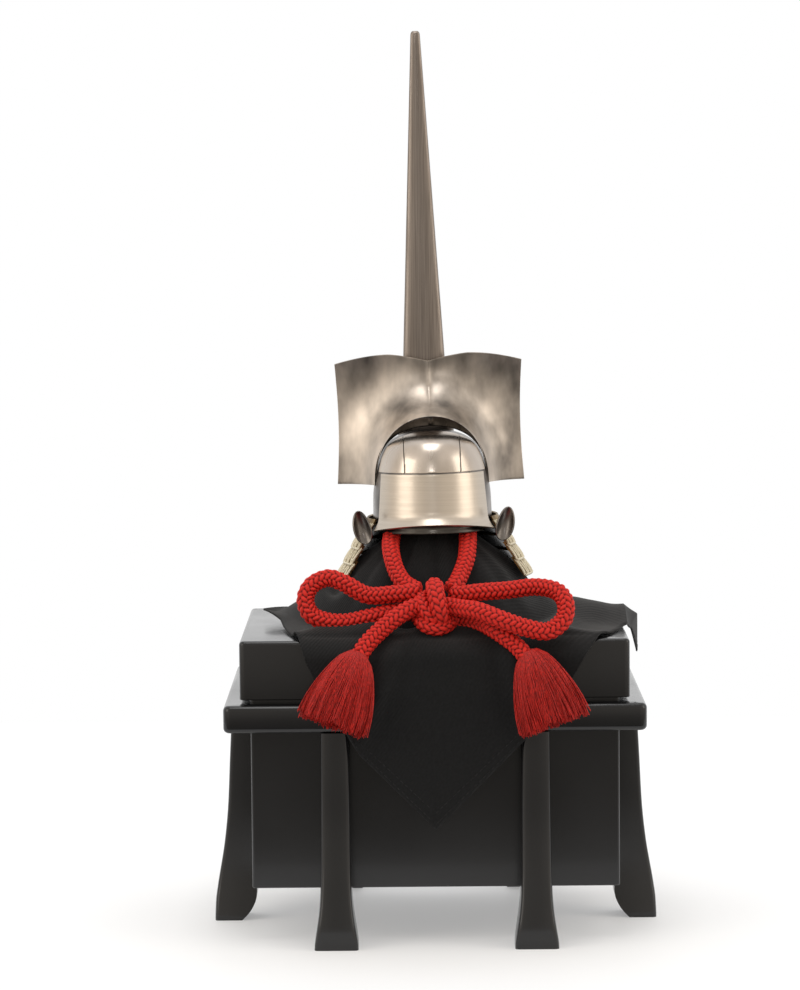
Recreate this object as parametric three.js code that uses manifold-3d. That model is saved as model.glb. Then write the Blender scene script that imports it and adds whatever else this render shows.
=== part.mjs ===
// A small ornamental samurai helmet on its lacquered chest, with the cloth and the tied cord between them.
// Millimetres, +Z up, the wearer's face towards -Y. The origin is on the floor, under the chest's centre.
import * as THREE from 'three';
import { mergeVertices } from 'three/addons/utils/BufferGeometryUtils.js';
import Module from 'manifold-3d';

const wasm = await Module();
wasm.setup();

// running gap between pieces that touch
const gap = 0.3;

// chest: lid, ledge, body and six legs
const chest = {
  lidWidth: 240,
  lidDepth: 188,
  lidHeight: 36.3,
  lidTop: 188.5,
  lidWall: 9,
  lidRoof: 6,
  edgeRound: 2.4,
  ledgeReach: 9.9,
  ledgeHeight: 17,
  ledgeRound: 3.2,
  recessHeight: 2.4,
  bodyInset: 6.4,
  bodyWall: 6,
  bodyFloor: 6,
  bodyBottom: 34.2,
};
const leg = {
  spacing: 123,
  topWidth: 17.6,
  footWidth: 27,
  topThickness: 15.4,
  footReach: 27.1,
  footLength: 14,
};

// post that carries the helmet, out of sight under the cloth
const post = { footRadius: 46, footHeight: 5, stemRadius: 8, headRadius: 12, headHeight: 30 };

// cloth: its wall, and how far its four corners lie from the post's axis
const cloth = {
  wall: 1.2,
  sideSpread: 81,
  frontSpread: 71,
  backSpread: 80,
  frontReach: 212,
  leftReach: 109,
  rightReach: 146,
  backReach: 150,
  cornerLift: 9,
  ledgeClearance: 1.6,
  // shares of the tent's height at the neck guard's and the bowl's rim
  guardShare: 0.2562,
  rimShare: 0.5608,
};

// helmet: leans a little to the viewer's left and is turned a little on its post
const helmet = {
  lean: THREE.MathUtils.degToRad(-1.1),
  turn: THREE.MathUtils.degToRad(1.2),
  rimHeight: 256,
};
const bowl = { halfWidth: 38.8, frontDepth: 41.5, backDepth: 44, height: 57, wall: 1.6 };
const domePlate = { wall: 0.8, seam: 17.7, rise: 31, back: -13.6 };
const brow = { wall: 1.2, height: 31.2, halfAngle: 59, flare: 2.6, sideDrop: 4.6, taper: 0.065 };
const lip = { wall: 1.2, height: 4.7, halfAngle: 56 };
const crest = {
  wall: 1.0,
  halfWidth: 59.6,
  rise: 21.8,
  aboveDome: 46.6,
  notch: 4.6,
  cornerDrop: 5.4,
  waist: 1.6,
  archHalfWidth: 37,
  archAboveDome: 8.6,
  lipForward: 21,
  lipDepth: 11,
  lipReturn: 7,
  back: 17,
  topRoll: 7,
  hump: 0.43,
  sideEnd: 0.42,
  coveBend: 4.2,
};
const spike = { length: 251.3, halfWidth: 15.5, tipHalfWidth: 2.9, thickness: 9, tipThickness: 3.4, x: -2.2, y: 23 };
const socket = { height: 15, wall: 2.2, root: 34 };
const guard = {
  lames: 4,
  wall: 1.1,
  drop: 36.5,
  topRise: 1.5,
  topHalfWidth: 40.4,
  bottomHalfWidth: 61.4,
  overlap: 2.6,
  openAngle: 66,
  topOpenAngle: 62,
};
const flap = { halfWidth: 6.6, halfHeight: 10.2, wall: 1.1, x: 46, y: -22.4, drop: 2.6, curl: 0.035, slant: 0.12 };
const rivet = { radius: 1.7, height: 1.2, angle: 67, drop: 3.4 };

// braided cord, its knot and its tassels
const cord = { diameter: 11.4, sides: 8, stepShare: 1 };
const knot = { halfWidth: 13, halfDepth: 12.6, halfHeight: 17.3, slope: 0.3, centre: [1, -83, 209] };
const tassel = { length: 47, skirtWidth: 21.5, skirtDepth: 12, locks: 14, lockDepth: 0.06 };

// routes of the cord, chosen by hand, each from the knot outwards
const routes = {
  chin_cord: [
    [-8, -67.5, 215.5], [-13, -65, 217.5], [-19, -60, 220.5], [-24.5, -53, 226.5], [-27.6, -44.5, 234.5],
    [-26.6, -33.5, 241.5], [-23, -20.5, 248.5], [-24, -11, 258], [-27, -1, 266.5], [-25, 16, 269],
    [-14, 29, 270], [0, 33, 270], [14, 29, 270], [25, 16, 269], [27, -1, 266.5], [24, -11, 258],
    [22.5, -20.5, 248.5], [24.2, -33.5, 241.5], [23.6, -44.5, 233.5], [18.5, -54, 225], [14.5, -61.5, 219.6],
    [9.5, -66.5, 215.5],
  ],
  bow_cord_left: [
    [-7, -79, 217.4], [-13, -79.2, 216.4], [-24, -79, 215.6], [-41, -77, 214.8], [-56, -75, 222.4],
    [-65, -74, 225.3], [-75.5, -75, 220.8], [-79.3, -77, 212.5], [-76, -79.5, 203.5], [-67, -81, 199.4],
    [-55, -81.5, 198.4], [-40, -80.5, 201.2], [-27, -78, 203.8], [-13, -76.5, 203.6], [0, -79, 200],
    [12, -82.5, 197.8], [20, -84.5, 198.6], [29, -90, 198], [40, -101.5, 193.4], [51, -107.5, 185],
    [58, -112, 176.5],
  ],
  bow_cord_right: [
    [9, -78.5, 216], [14.4, -79.5, 215], [28, -82, 216.6], [46, -84, 218], [64, -87, 220],
    [75.8, -93, 217.6], [80.4, -99, 211.2], [79, -104, 202], [69.4, -107.5, 195.2], [57, -108.5, 197],
    [39.2, -109, 203.2], [26.5, -102.5, 207.4], [14.6, -92.5, 208.2], [2, -86.5, 209.5], [-10.5, -89.5, 209],
    [-20.5, -94.5, 204.8], [-33, -99, 195.4], [-42, -105, 186.8], [-47.5, -109.5, 178],
  ],
};
const tasselPlaces = {
  tassel_left: { neck: [-46.5, -110.5, 183], swing: 21, tilt: 16 },
  tassel_right: { neck: [57.5, -112, 183.5], swing: -20, tilt: 11 },
};

// the surfaces' plain colours
const finish = {
  lacquer: { color: 0x1a1a1c, roughness: 0.28, metalness: 0 },
  wood: { color: 0x8a6a44, roughness: 0.7, metalness: 0 },
  cloth: { color: 0x1c1c1d, roughness: 0.95, metalness: 0 },
  silver: { color: 0xb9aa9c, roughness: 0.22, metalness: 1 },
  brushed: { color: 0x8f8379, roughness: 0.4, metalness: 1 },
  darkMetal: { color: 0x55504c, roughness: 0.35, metalness: 1 },
  gold: { color: 0x6b5430, roughness: 0.4, metalness: 1 },
  cordRed: { color: 0xb0221f, roughness: 0.85, metalness: 0 },
};

// heights that follow from the chest's sizes
const lidBottom = chest.lidTop - chest.lidHeight;
const ledgeTop = lidBottom - chest.recessHeight;
const ledgeBottom = ledgeTop - chest.ledgeHeight;
const bodyHalfWidth = chest.lidWidth / 2 - chest.bodyInset;
const bodyHalfDepth = chest.lidDepth / 2 - chest.bodyInset;

// heights that follow from the helmet's rim and its bowl
const domeTop = helmet.rimHeight + bowl.height;
const crestBottom = helmet.rimHeight + crest.rise;
const crestTop = domeTop + crest.aboveDome;
const archTop = domeTop + crest.archAboveDome;
const spikeBottom = domeTop;
const spikeTop = spikeBottom + spike.length;

// one closed mesh from points and triangles, its faces turned outwards
function closedGeometry(points, triangles) {
  const raw = new THREE.BufferGeometry();
  raw.setAttribute('position', new THREE.Float32BufferAttribute(points.flat(), 3));
  raw.setIndex(triangles.flat());
  const merged = mergeVertices(raw, 1e-3);
  const index = merged.getIndex().array;
  const at = merged.getAttribute('position');
  const a = new THREE.Vector3();
  const b = new THREE.Vector3();
  const c = new THREE.Vector3();
  const kept = [];
  let volume = 0;
  for (let i = 0; i < index.length; i += 3) {
    const [p, q, r] = [index[i], index[i + 1], index[i + 2]];
    if (p === q || q === r || r === p) continue;
    kept.push([p, q, r]);
    a.fromBufferAttribute(at, p);
    b.fromBufferAttribute(at, q);
    c.fromBufferAttribute(at, r);
    volume += a.dot(b.cross(c));
  }
  const out = new THREE.BufferGeometry();
  out.setAttribute('position', at);
  out.setIndex(kept.map((t) => (volume < 0 ? [t[0], t[2], t[1]] : t)).flat());
  return out;
}

// a solid through rings of points, with flat ends
function ringSolid(rings) {
  const count = rings[0].length;
  const points = rings.flat();
  const triangles = [];
  for (let r = 0; r + 1 < rings.length; r += 1) {
    for (let i = 0; i < count; i += 1) {
      const j = (i + 1) % count;
      const [p, q] = [r * count + i, r * count + j];
      triangles.push([p, q, q + count], [p, q + count, p + count]);
    }
  }
  for (const [r, turn] of [[0, false], [rings.length - 1, true]]) {
    const middle = rings[r].reduce((s, v) => s.map((n, k) => n + v[k] / count), [0, 0, 0]);
    points.push(middle);
    const hub = points.length - 1;
    for (let i = 0; i < count; i += 1) {
      const pair = [r * count + i, r * count + ((i + 1) % count)];
      triangles.push(turn ? [pair[0], pair[1], hub] : [pair[1], pair[0], hub]);
    }
  }
  return closedGeometry(points, triangles);
}

// a wall between an outer and an inner surface, each a function of two shares from 0 to 1
function wallSolid(across, along, outer, inner, round = false) {
  const points = [];
  const columns = round ? across : across + 1;
  for (const surface of [outer, inner]) {
    for (let i = 0; i < columns; i += 1) {
      for (let j = 0; j <= along; j += 1) points.push(surface(i / across, j / along));
    }
  }
  const half = columns * (along + 1);
  const at = (side, i, j) => side * half + (i % columns) * (along + 1) + j;
  const triangles = [];
  const quad = (p, q, r, s) => triangles.push([p, q, r], [p, r, s]);
  for (let i = 0; i < across; i += 1) {
    for (let j = 0; j < along; j += 1) {
      quad(at(0, i, j), at(0, i + 1, j), at(0, i + 1, j + 1), at(0, i, j + 1));
      quad(at(1, i, j), at(1, i, j + 1), at(1, i + 1, j + 1), at(1, i + 1, j));
    }
    quad(at(0, i, 0), at(1, i, 0), at(1, i + 1, 0), at(0, i + 1, 0));
    quad(at(0, i, along), at(0, i + 1, along), at(1, i + 1, along), at(1, i, along));
  }
  if (!round) {
    for (let j = 0; j < along; j += 1) {
      quad(at(0, 0, j), at(0, 0, j + 1), at(1, 0, j + 1), at(1, 0, j));
      quad(at(0, across, j), at(1, across, j), at(1, across, j + 1), at(0, across, j + 1));
    }
  }
  return closedGeometry(points, triangles);
}

// a solid for cutting and joining, and back
function toSolid(geometry) {
  const bare = geometry.clone();
  bare.deleteAttribute('normal');
  bare.deleteAttribute('uv');
  const merged = mergeVertices(bare, 1e-3);
  const vertProperties = new Float32Array(merged.getAttribute('position').array);
  const triVerts = new Uint32Array(merged.getIndex().array);
  return new wasm.Manifold(new wasm.Mesh({ numProp: 3, vertProperties, triVerts }));
}

function toGeometry(solid) {
  const mesh = solid.getMesh();
  const out = new THREE.BufferGeometry();
  out.setAttribute('position', new THREE.BufferAttribute(new Float32Array(mesh.vertProperties), 3));
  out.setIndex(new THREE.BufferAttribute(new Uint32Array(mesh.triVerts), 1));
  return out;
}

// the biggest of the pieces that a cut leaves
function largest(solid) {
  return solid.decompose().reduce((best, piece) => (piece.volume() > best.volume() ? piece : best));
}

function mesh(name, geometry, look) {
  const out = new THREE.Mesh(geometry, new THREE.MeshStandardMaterial(look));
  out.name = name;
  return out;
}

// a rectangle with rounded corners at one height
function roundedRing(halfWidth, halfDepth, radius, z) {
  const ring = [];
  const steps = 3;
  const corners = [[1, 1, 0], [-1, 1, 90], [-1, -1, 180], [1, -1, 270]];
  for (const [sx, sy, start] of corners) {
    for (let k = 0; k <= steps; k += 1) {
      const turn = THREE.MathUtils.degToRad(start + (90 * k) / steps);
      const x = sx * (halfWidth - radius) + radius * Math.cos(turn);
      const y = sy * (halfDepth - radius) + radius * Math.sin(turn);
      ring.push([x, y, z]);
    }
  }
  return ring;
}

// a block whose top and bottom edges are rounded
function roundedBlock(halfWidth, halfDepth, bottom, top, bottomRound, topRound) {
  const corner = Math.max(bottomRound, topRound, 1) + 0.6;
  const rings = [];
  for (const [base, round, side] of [[bottom, bottomRound, 1], [top, topRound, -1]]) {
    const turns = round > 0 ? [0, 45, 90] : [0];
    const rows = turns.map((degrees) => {
      const turn = THREE.MathUtils.degToRad(degrees);
      const inset = round * (1 - Math.sin(turn));
      const rise = round * (1 - Math.cos(turn));
      return roundedRing(halfWidth - inset, halfDepth - inset, corner - inset, base + side * rise);
    });
    rings.push(...(side > 0 ? rows : rows.reverse()));
  }
  return ringSolid(rings);
}

// chest
function makeChest(group) {
  const lid = toSolid(
    roundedBlock(chest.lidWidth / 2, chest.lidDepth / 2, lidBottom, chest.lidTop, 0, chest.edgeRound),
  );
  const lidRoom = roundedBlock(
    chest.lidWidth / 2 - chest.lidWall,
    chest.lidDepth / 2 - chest.lidWall,
    lidBottom - 1,
    chest.lidTop - chest.lidRoof,
    0,
    0,
  );
  group.add(mesh('chest_lid', toGeometry(lid.subtract(toSolid(lidRoom))), finish.lacquer));

  const ledgeHalfWidth = chest.lidWidth / 2 + chest.ledgeReach;
  const ledgeHalfDepth = chest.lidDepth / 2 + chest.ledgeReach;
  const ledge = toSolid(
    roundedBlock(ledgeHalfWidth, ledgeHalfDepth, ledgeBottom, ledgeTop, chest.ledgeRound, chest.ledgeRound),
  );
  const ledgeRoom = roundedBlock(bodyHalfWidth + gap, bodyHalfDepth + gap, ledgeBottom - 1, ledgeTop + 1, 0, 0);
  group.add(mesh('chest_ledge', toGeometry(ledge.subtract(toSolid(ledgeRoom))), finish.lacquer));

  const body = toSolid(roundedBlock(bodyHalfWidth, bodyHalfDepth, chest.bodyBottom, lidBottom - gap, 0, 0));
  const bodyRoom = roundedBlock(
    bodyHalfWidth - chest.bodyWall,
    bodyHalfDepth - chest.bodyWall,
    chest.bodyBottom + chest.bodyFloor,
    lidBottom + 1,
    0,
    0,
  );
  group.add(mesh('chest_body', toGeometry(body.subtract(toSolid(bodyRoom))), finish.lacquer));
}

// leg: rows of share of the leg's height, share of the way from top thickness to the foot's reach,
// share of the way from the top's width to the foot's
const legRows = [
  [0, 0.76, 1, 1],
  [0.02, 0.92, 1, 1],
  [0.06, 1, 0.93, 0.86],
  [0.14, 0.92, 0.52, 0.5],
  [0.21, 0.78, 0.2, 0.26],
  [0.26, 0.68, 0, 0.18],
  [0.38, 0.46, 0, 0.1],
  [0.55, 0.26, 0, 0.06],
  [0.8, 0.12, 0, 0.02],
  [1, 0, 0, 0],
];

function makeLeg() {
  const height = ledgeBottom - gap;
  const chamfer = 2.6;
  const rings = legRows.map(([rise, reach, undercut, spread]) => {
    const outer = leg.topThickness + reach * (leg.footReach - leg.topThickness);
    const inner = undercut * (leg.footReach - leg.footLength - 1.5) + gap;
    const half = (leg.topWidth + spread * (leg.footWidth - leg.topWidth)) / 2;
    const z = rise * height;
    return [
      [half, inner, z], [half, outer - chamfer, z], [half - chamfer, outer, z],
      [-half + chamfer, outer, z], [-half, outer - chamfer, z], [-half, inner, z],
    ];
  });
  return ringSolid(rings);
}

function makeLegs(group) {
  const places = [
    ['leg_front_left', -leg.spacing / 2, -bodyHalfDepth, 180],
    ['leg_front_right', leg.spacing / 2, -bodyHalfDepth, 180],
    ['leg_back_left', -leg.spacing / 2, bodyHalfDepth, 0],
    ['leg_back_right', leg.spacing / 2, bodyHalfDepth, 0],
    ['leg_side_left', -bodyHalfWidth, 0, 90],
    ['leg_side_right', bodyHalfWidth, 0, -90],
  ];
  for (const [name, x, y, degrees] of places) {
    const one = mesh(name, makeLeg(), finish.lacquer);
    one.position.set(x, y, 0);
    one.rotation.z = THREE.MathUtils.degToRad(degrees);
    group.add(one);
  }
}

// post: a foot, a stem and a round head
function makePost(group) {
  const base = chest.lidTop + gap;
  const headBottom = postTop - post.headHeight;
  const outline = [
    [0, base], [post.footRadius, base], [post.footRadius, base + post.footHeight],
    [post.stemRadius + 3, base + post.footHeight + 2], [post.stemRadius, base + post.footHeight + 8],
    [post.stemRadius, headBottom - 4], [post.headRadius, headBottom + 3], [post.headRadius, postTop - 7],
    [post.headRadius * 0.8, postTop - 2.2], [post.headRadius * 0.4, postTop - 0.3], [0, postTop],
  ];
  const lathe = new THREE.LatheGeometry(outline.map(([r, z]) => new THREE.Vector2(r, z)), 14);
  lathe.rotateX(Math.PI / 2);
  lathe.deleteAttribute('normal');
  lathe.deleteAttribute('uv');
  const merged = mergeVertices(lathe, 1e-3);
  const points = [];
  const at = merged.getAttribute('position');
  for (let i = 0; i < at.count; i += 1) points.push([at.getX(i), at.getY(i), at.getZ(i)]);
  const index = Array.from(merged.getIndex().array);
  group.add(mesh('helmet_post', closedGeometry(points, [index]), finish.wood));
}

// cloth over the post: share of the height above the lid, share of the spread
const tentRows = [
  [1, 0], [0.998, 0.07], [0.983, 0.14], [0.947, 0.175], [0.8, 0.185], [0.612, 0.2], [0.545, 0.23],
  [0.503, 0.26], [0.4615, 0.33], [0.411, 0.43], [0.353, 0.545], [0.278, 0.67], [0.202, 0.755],
  [0.127, 0.84], [0.06, 0.92], [0.018, 0.97], [0, 1],
];
// hem, laid out flat round the post's axis: share of the left or right reach, share of the front or back reach
const hemRows = [
  [0, 1], [0.36, 0.747], [0.56, 0.57], [0.674, 0.443], [0.737, 0.335], [0.8, 0.16], [0.83, 0.1], [1, -0.03],
  [0, -1], [-1, -0.12], [-0.89, 0.085], [-0.835, 0.27], [-0.765, 0.443], [-0.72, 0.52], [-0.6, 0.64],
  [-0.42, 0.783],
];
// folds that run down the tent: degrees to the right of its front, depth, width in degrees
const foldRows = [
  [-34, 0.03, 13], [0, -0.05, 7], [11, 0.03, 8], [38, 0.03, 14], [66, -0.03, 12],
  [110, 0.02, 16], [145, -0.04, 16], [180, 0.03, 18], [215, -0.04, 16], [255, 0.02, 14], [294, -0.03, 12],
];
const clothRows = { lid: 2, fall: 5, step: 12 };
const postTop = domeTop - domePlate.wall - bowl.wall - cloth.wall - 3.6 * gap;

// how far the cloth spreads under the helmet in one direction, 0 towards the viewer, positive to the right
function clothSpread(turn) {
  const depth = Math.cos(turn) > 0 ? cloth.frontSpread : cloth.backSpread;
  return 1 / Math.hypot(Math.sin(turn) / cloth.sideSpread, Math.cos(turn) / depth);
}

function clothFold(turn) {
  const degrees = THREE.MathUtils.radToDeg(turn);
  return foldRows.reduce((sum, [centre, depth, width]) => {
    const away = ((((degrees - centre) % 360) + 540) % 360) - 180;
    return sum + depth * Math.exp(-((away / width) ** 2));
  }, 0);
}

// the hem's points, with one more wherever it crosses an edge of the lid
function clothHem() {
  const corners = hemRows.map(([across, forward]) => [
    across * (across > 0 ? cloth.rightReach : cloth.leftReach),
    forward * (forward > 0 ? cloth.frontReach : cloth.backReach),
  ]);
  const edges = [chest.lidWidth / 2, chest.lidDepth / 2];
  const points = [];
  corners.forEach((here, i) => {
    const next = corners[(i + 1) % corners.length];
    const cuts = [0];
    for (const axis of [0, 1]) {
      for (const edge of [-edges[axis], edges[axis]]) {
        const share = (edge - here[axis]) / (next[axis] - here[axis]);
        if (share > 0.01 && share < 0.99) cuts.push(share);
      }
    }
    cuts.sort((a, b) => a - b);
    cuts.push(1);
    const at = (share) => [0, 1].map((k) => here[k] + share * (next[k] - here[k]));
    for (let c = 0; c + 1 < cuts.length; c += 1) {
      const [from, to] = [at(cuts[c]), at(cuts[c + 1])];
      const sweep = Math.atan2(from[0] * to[1] - from[1] * to[0], from[0] * to[0] + from[1] * to[1]);
      const parts = Math.max(1, Math.round(Math.abs(THREE.MathUtils.radToDeg(sweep)) / clothRows.step));
      for (let k = 0; k < parts; k += 1) points.push(at(cuts[c] + (k / parts) * (cuts[c + 1] - cuts[c])));
    }
  });
  return points;
}

// a point of the cloth that lies on the lid or hangs over its edge
function layOnChest(x, forward, lift) {
  const top = chest.lidTop + gap + lift;
  const overFront = Math.abs(forward) - chest.lidDepth / 2;
  const overSide = Math.abs(x) - chest.lidWidth / 2;
  if (overFront > -1e-6) {
    const drop = chest.lidTop - ledgeTop;
    const slant = Math.hypot(chest.ledgeReach, drop);
    const share = Math.min(overFront, slant) / slant;
    const clear = cloth.ledgeClearance + chest.ledgeReach;
    const out = chest.lidDepth / 2 + gap + lift + clear * Math.min(1, share * 1.2);
    const z = top - share * drop - Math.max(0, overFront - slant);
    return [x, -Math.sign(forward) * out, z];
  }
  if (overSide > -1e-6) return [Math.sign(x) * (chest.lidWidth / 2 + gap + lift), -forward, top - overSide];
  return [x, -forward, top];
}

// height of a row of the tent: where it passes the neck guard and the bowl's rim it keeps to the helmet
function tentHeight(rise) {
  const marks = [
    [0, chest.lidTop + gap], [cloth.guardShare, helmet.rimHeight - guard.drop],
    [cloth.rimShare, helmet.rimHeight], [1, postTop + gap],
  ];
  const next = Math.max(1, marks.findIndex(([share]) => share >= rise));
  const [share, z] = marks[next - 1];
  const [shareAbove, above] = marks[next];
  return z + ((rise - share) / (shareAbove - share)) * (above - z);
}

// the cloth's points along one direction, from the post's top to the hem
function clothColumn(hemPoint, lift) {
  const reach = Math.hypot(...hemPoint);
  const [across, forward] = hemPoint.map((n) => n / reach);
  const turn = Math.atan2(across, forward);
  const spread = clothSpread(turn);
  const column = tentRows.map(([rise, out], row) => {
    const share = row / (tentRows.length - 1);
    const fold = 1 + clothFold(turn) * Math.sin(Math.PI * Math.min(1, Math.max(0, (share - 0.35) / 0.65)));
    const steep = row > 3 && row < tentRows.length - 2;
    const radius = out * spread * fold + (row > 1 ? lift * (steep ? 0.9 : 0.4) : 0);
    const z = tentHeight(rise) + lift * (steep ? 0.45 : 1);
    return [radius * across, -radius * forward, z];
  });
  const edgeX = chest.lidWidth / 2 / Math.max(Math.abs(across), 1e-6);
  const edgeY = chest.lidDepth / 2 / Math.max(Math.abs(forward), 1e-6);
  const flatEnd = Math.min(reach, edgeX, edgeY);
  const corner = Math.max(0, 1 - Math.abs(turn + Math.PI / 2 + 0.14) / 0.75);
  for (let k = 1; k <= clothRows.lid; k += 1) {
    const far = spread + (k / clothRows.lid) * (flatEnd - spread);
    const point = layOnChest(far * across, far * forward, lift);
    point[2] += cloth.cornerLift * corner * (k / clothRows.lid) ** 2;
    column.push(point);
  }
  for (let k = 1; k <= clothRows.fall; k += 1) {
    const far = flatEnd + (k / clothRows.fall) * (reach - flatEnd);
    const point = layOnChest(far * across, far * forward, lift);
    point[2] += cloth.cornerLift * corner;
    column.push(point);
  }
  return column;
}

function makeCloth(group) {
  const hem = clothHem();
  const columns = [cloth.wall, 0].map((lift) => hem.map((point) => clothColumn(point, lift)));
  const along = columns[0][0].length - 1;
  const at = (side) => (u, v) => columns[side][Math.round(u * hem.length) % hem.length][Math.round(v * along)];
  group.add(mesh('display_cloth', wallSolid(hem.length, along, at(0), at(1), true), finish.cloth));
}

// bowl: share of its height, share of its plan
const bowlRows = [
  [0, 1], [0.31, 1], [0.5, 0.965], [0.62, 0.92], [0.72, 0.865], [0.83, 0.775], [0.91, 0.63], [0.97, 0.42],
  [0.995, 0.2], [1, 0],
];

// a point on the bowl's skin: degrees from the front, row along the profile, and how far outside it
function bowlSkin(degrees, row, lift) {
  const turn = THREE.MathUtils.degToRad(degrees);
  const low = Math.min(Math.floor(row), bowlRows.length - 2);
  const part = row - low;
  const share = bowlRows[low][0] + part * (bowlRows[low + 1][0] - bowlRows[low][0]);
  const scale = bowlRows[low][1] + part * (bowlRows[low + 1][1] - bowlRows[low][1]);
  const depth = Math.cos(turn) > 0 ? bowl.frontDepth : bowl.backDepth;
  const outward = scale > 0 ? lift * Math.min(1, scale * 1.2) : 0;
  const upward = lift * Math.max(0, share - 0.35) * 1.5;
  return [
    (bowl.halfWidth * scale + outward) * Math.sin(turn),
    -(depth * scale + outward) * Math.cos(turn),
    helmet.rimHeight + share * bowl.height + upward,
  ];
}

function bowlWall(outside, inside) {
  const rows = bowlRows.length - 1;
  const outer = (u, v) => bowlSkin(u * 360, v * rows, outside);
  const inner = (u, v) => bowlSkin(u * 360, v * rows, inside);
  return wallSolid(26, rows, outer, inner, true);
}

// the bowl filled in, for cutting what sits on it
function domeSolid(lift) {
  const rings = bowlRows.map((row, r) => {
    const at = r === bowlRows.length - 1 ? r - 0.05 : r;
    return Array.from({ length: 32 }, (none, k) => bowlSkin((k * 360) / 32, at, lift));
  });
  return toSolid(ringSolid(rings));
}

function boxSolid(x0, x1, y0, y1, z0, z1) {
  const box = new THREE.BoxGeometry(x1 - x0, y1 - y0, z1 - z0);
  box.translate((x0 + x1) / 2, (y0 + y1) / 2, (z0 + z1) / 2);
  return toSolid(box);
}

function makeBowl(group) {
  const skin = -(domePlate.wall + gap);
  group.add(mesh('bowl_shell', bowlWall(skin, skin - bowl.wall), finish.silver));

  const plates = toSolid(bowlWall(0, -domePlate.wall));
  const low = helmet.rimHeight + domePlate.rise;
  const high = low + bowl.height;
  const far = 2 * bowl.frontDepth;
  const seam = domePlate.seam;
  const cuts = [
    ['top_plate', -seam + gap / 2, seam - gap / 2],
    ['side_plate_left', -far, -seam - gap / 2],
    ['side_plate_right', seam + gap / 2, far],
  ];
  for (const [name, x0, x1] of cuts) {
    const piece = plates.intersect(boxSolid(x0, x1, -far, domePlate.back, low, high));
    group.add(mesh(name, toGeometry(piece), finish.silver));
  }
}

// brow plate: a band round the bowl's front, flared at its lower edge, lower at its ends
function makeBrow(group) {
  const skin = (u, v, lift) => {
    const side = 2 * u - 1;
    const turn = THREE.MathUtils.degToRad(side * brow.halfAngle);
    const bottom = helmet.rimHeight - 1 - brow.sideDrop * side * side;
    const top = helmet.rimHeight - 1 + brow.height;
    const z = bottom + v * (top - bottom);
    const flare = brow.flare * Math.max(0, 1 - 5 * v) ** 2;
    const scale = 1 - brow.taper * v;
    const out = gap + flare + lift;
    const x = (bowl.halfWidth * scale + out) * Math.sin(turn);
    const y = -(bowl.frontDepth * scale + out) * Math.cos(turn);
    return [x, y, z];
  };
  const outer = (u, v) => skin(u, v, brow.wall + 0.6);
  const inner = (u, v) => skin(u, v, 0.6);
  group.add(mesh('brow_plate', wallSolid(18, 5, outer, inner), finish.silver));

  const lipSkin = (u, v, lift) => {
    const side = 2 * u - 1;
    const turn = THREE.MathUtils.degToRad(side * lip.halfAngle);
    const top = helmet.rimHeight - gap;
    const z = top - lip.height * (1 - v);
    const x = (bowl.halfWidth - 1.4 + lift) * Math.sin(turn);
    const y = -(bowl.frontDepth - 1.4 + lift) * Math.cos(turn);
    return [x, y, z];
  };
  const lipOuter = (u, v) => lipSkin(u, v, lip.wall);
  const lipInner = (u, v) => lipSkin(u, v, 0);
  group.add(mesh('visor_lip', wallSolid(20, 2, lipOuter, lipInner), finish.darkMetal));
}

// crest plate: a sheet between the arch over the dome and its own outline
function crestTopEdge(x) {
  const share = Math.abs(x) / crest.halfWidth;
  if (share < crest.hump) return crestTop - crest.notch * (1 - share / crest.hump) ** 1.4;
  return crestTop - crest.cornerDrop * ((share - crest.hump) / (1 - crest.hump)) ** 1.8;
}

function crestOutline(share) {
  const side = share < 0.5 ? -1 : 1;
  const way = Math.abs(2 * share - 1);
  const cornerHeight = crestTop - crest.cornerDrop;
  if (way > 1 - crest.sideEnd) {
    const rise = (1 - way) / crest.sideEnd;
    const x = crest.halfWidth - crest.waist * Math.sin(Math.PI * rise);
    return [side * x, crestBottom + rise * (cornerHeight - crestBottom)];
  }
  const x = side * crest.halfWidth * (way / (1 - crest.sideEnd));
  return [x, crestTopEdge(x)];
}

// where the sheet meets the dome: share round the arch, as an arch with upright sides
const archPower = 0.86;
const archHeight = archTop - crestBottom;
function crestArch(share) {
  const turn = Math.PI * (1 - share);
  return [crest.archHalfWidth * Math.cos(turn), crestBottom + archHeight * Math.sin(turn) ** archPower];
}

// how far back the sheet stands: hollowed round the arch and rolled forward at its top
function crestDepth(x, z) {
  const wide = (x / crest.archHalfWidth) ** 2;
  const high = (Math.max(0, z - crestBottom) / archHeight) ** (2 / archPower);
  const away = Math.max(0, Math.sqrt(wide + high) - 1);
  const forward = crest.lipForward * (0.35 + (0.65 * high) / (wide + high));
  const level = (z - crestBottom) / (crestTop - crestBottom);
  const roll = crest.topRoll * (Math.max(0, level - 0.55) / 0.45) ** 2;
  return crest.back - (crest.back + forward) * Math.exp(-crest.coveBend * away) - roll;
}

function crestPoint(u, v, lift) {
  const outline = crestOutline(u);
  const arch = crestArch(u);
  const lipShare = 0.12;
  const middle = Math.sin(Math.PI * u) ** 2;
  if (v < lipShare) {
    const down = 1 - v / lipShare;
    const edge = crestDepth(...arch);
    const drop = crest.lipDepth * middle * down;
    return [arch[0], edge + crest.lipReturn * down * middle + lift, arch[1] - drop + 0.2 * lift];
  }
  const way = (v - lipShare) / (1 - lipShare);
  const x = arch[0] + way * (outline[0] - arch[0]);
  const z = arch[1] + way * (outline[1] - arch[1]);
  return [x, crestDepth(x, z) + lift, z + lift * 0.35 * (1 - way)];
}

function makeCrest(group) {
  const outer = (u, v) => crestPoint(u, v, 0);
  const inner = (u, v) => crestPoint(u, v, crest.wall);
  const sheet = toSolid(wallSolid(32, 7, outer, inner)).subtract(domeSolid(gap));
  group.add(mesh('crest_plate', toGeometry(largest(sheet)), finish.silver));
}

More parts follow.
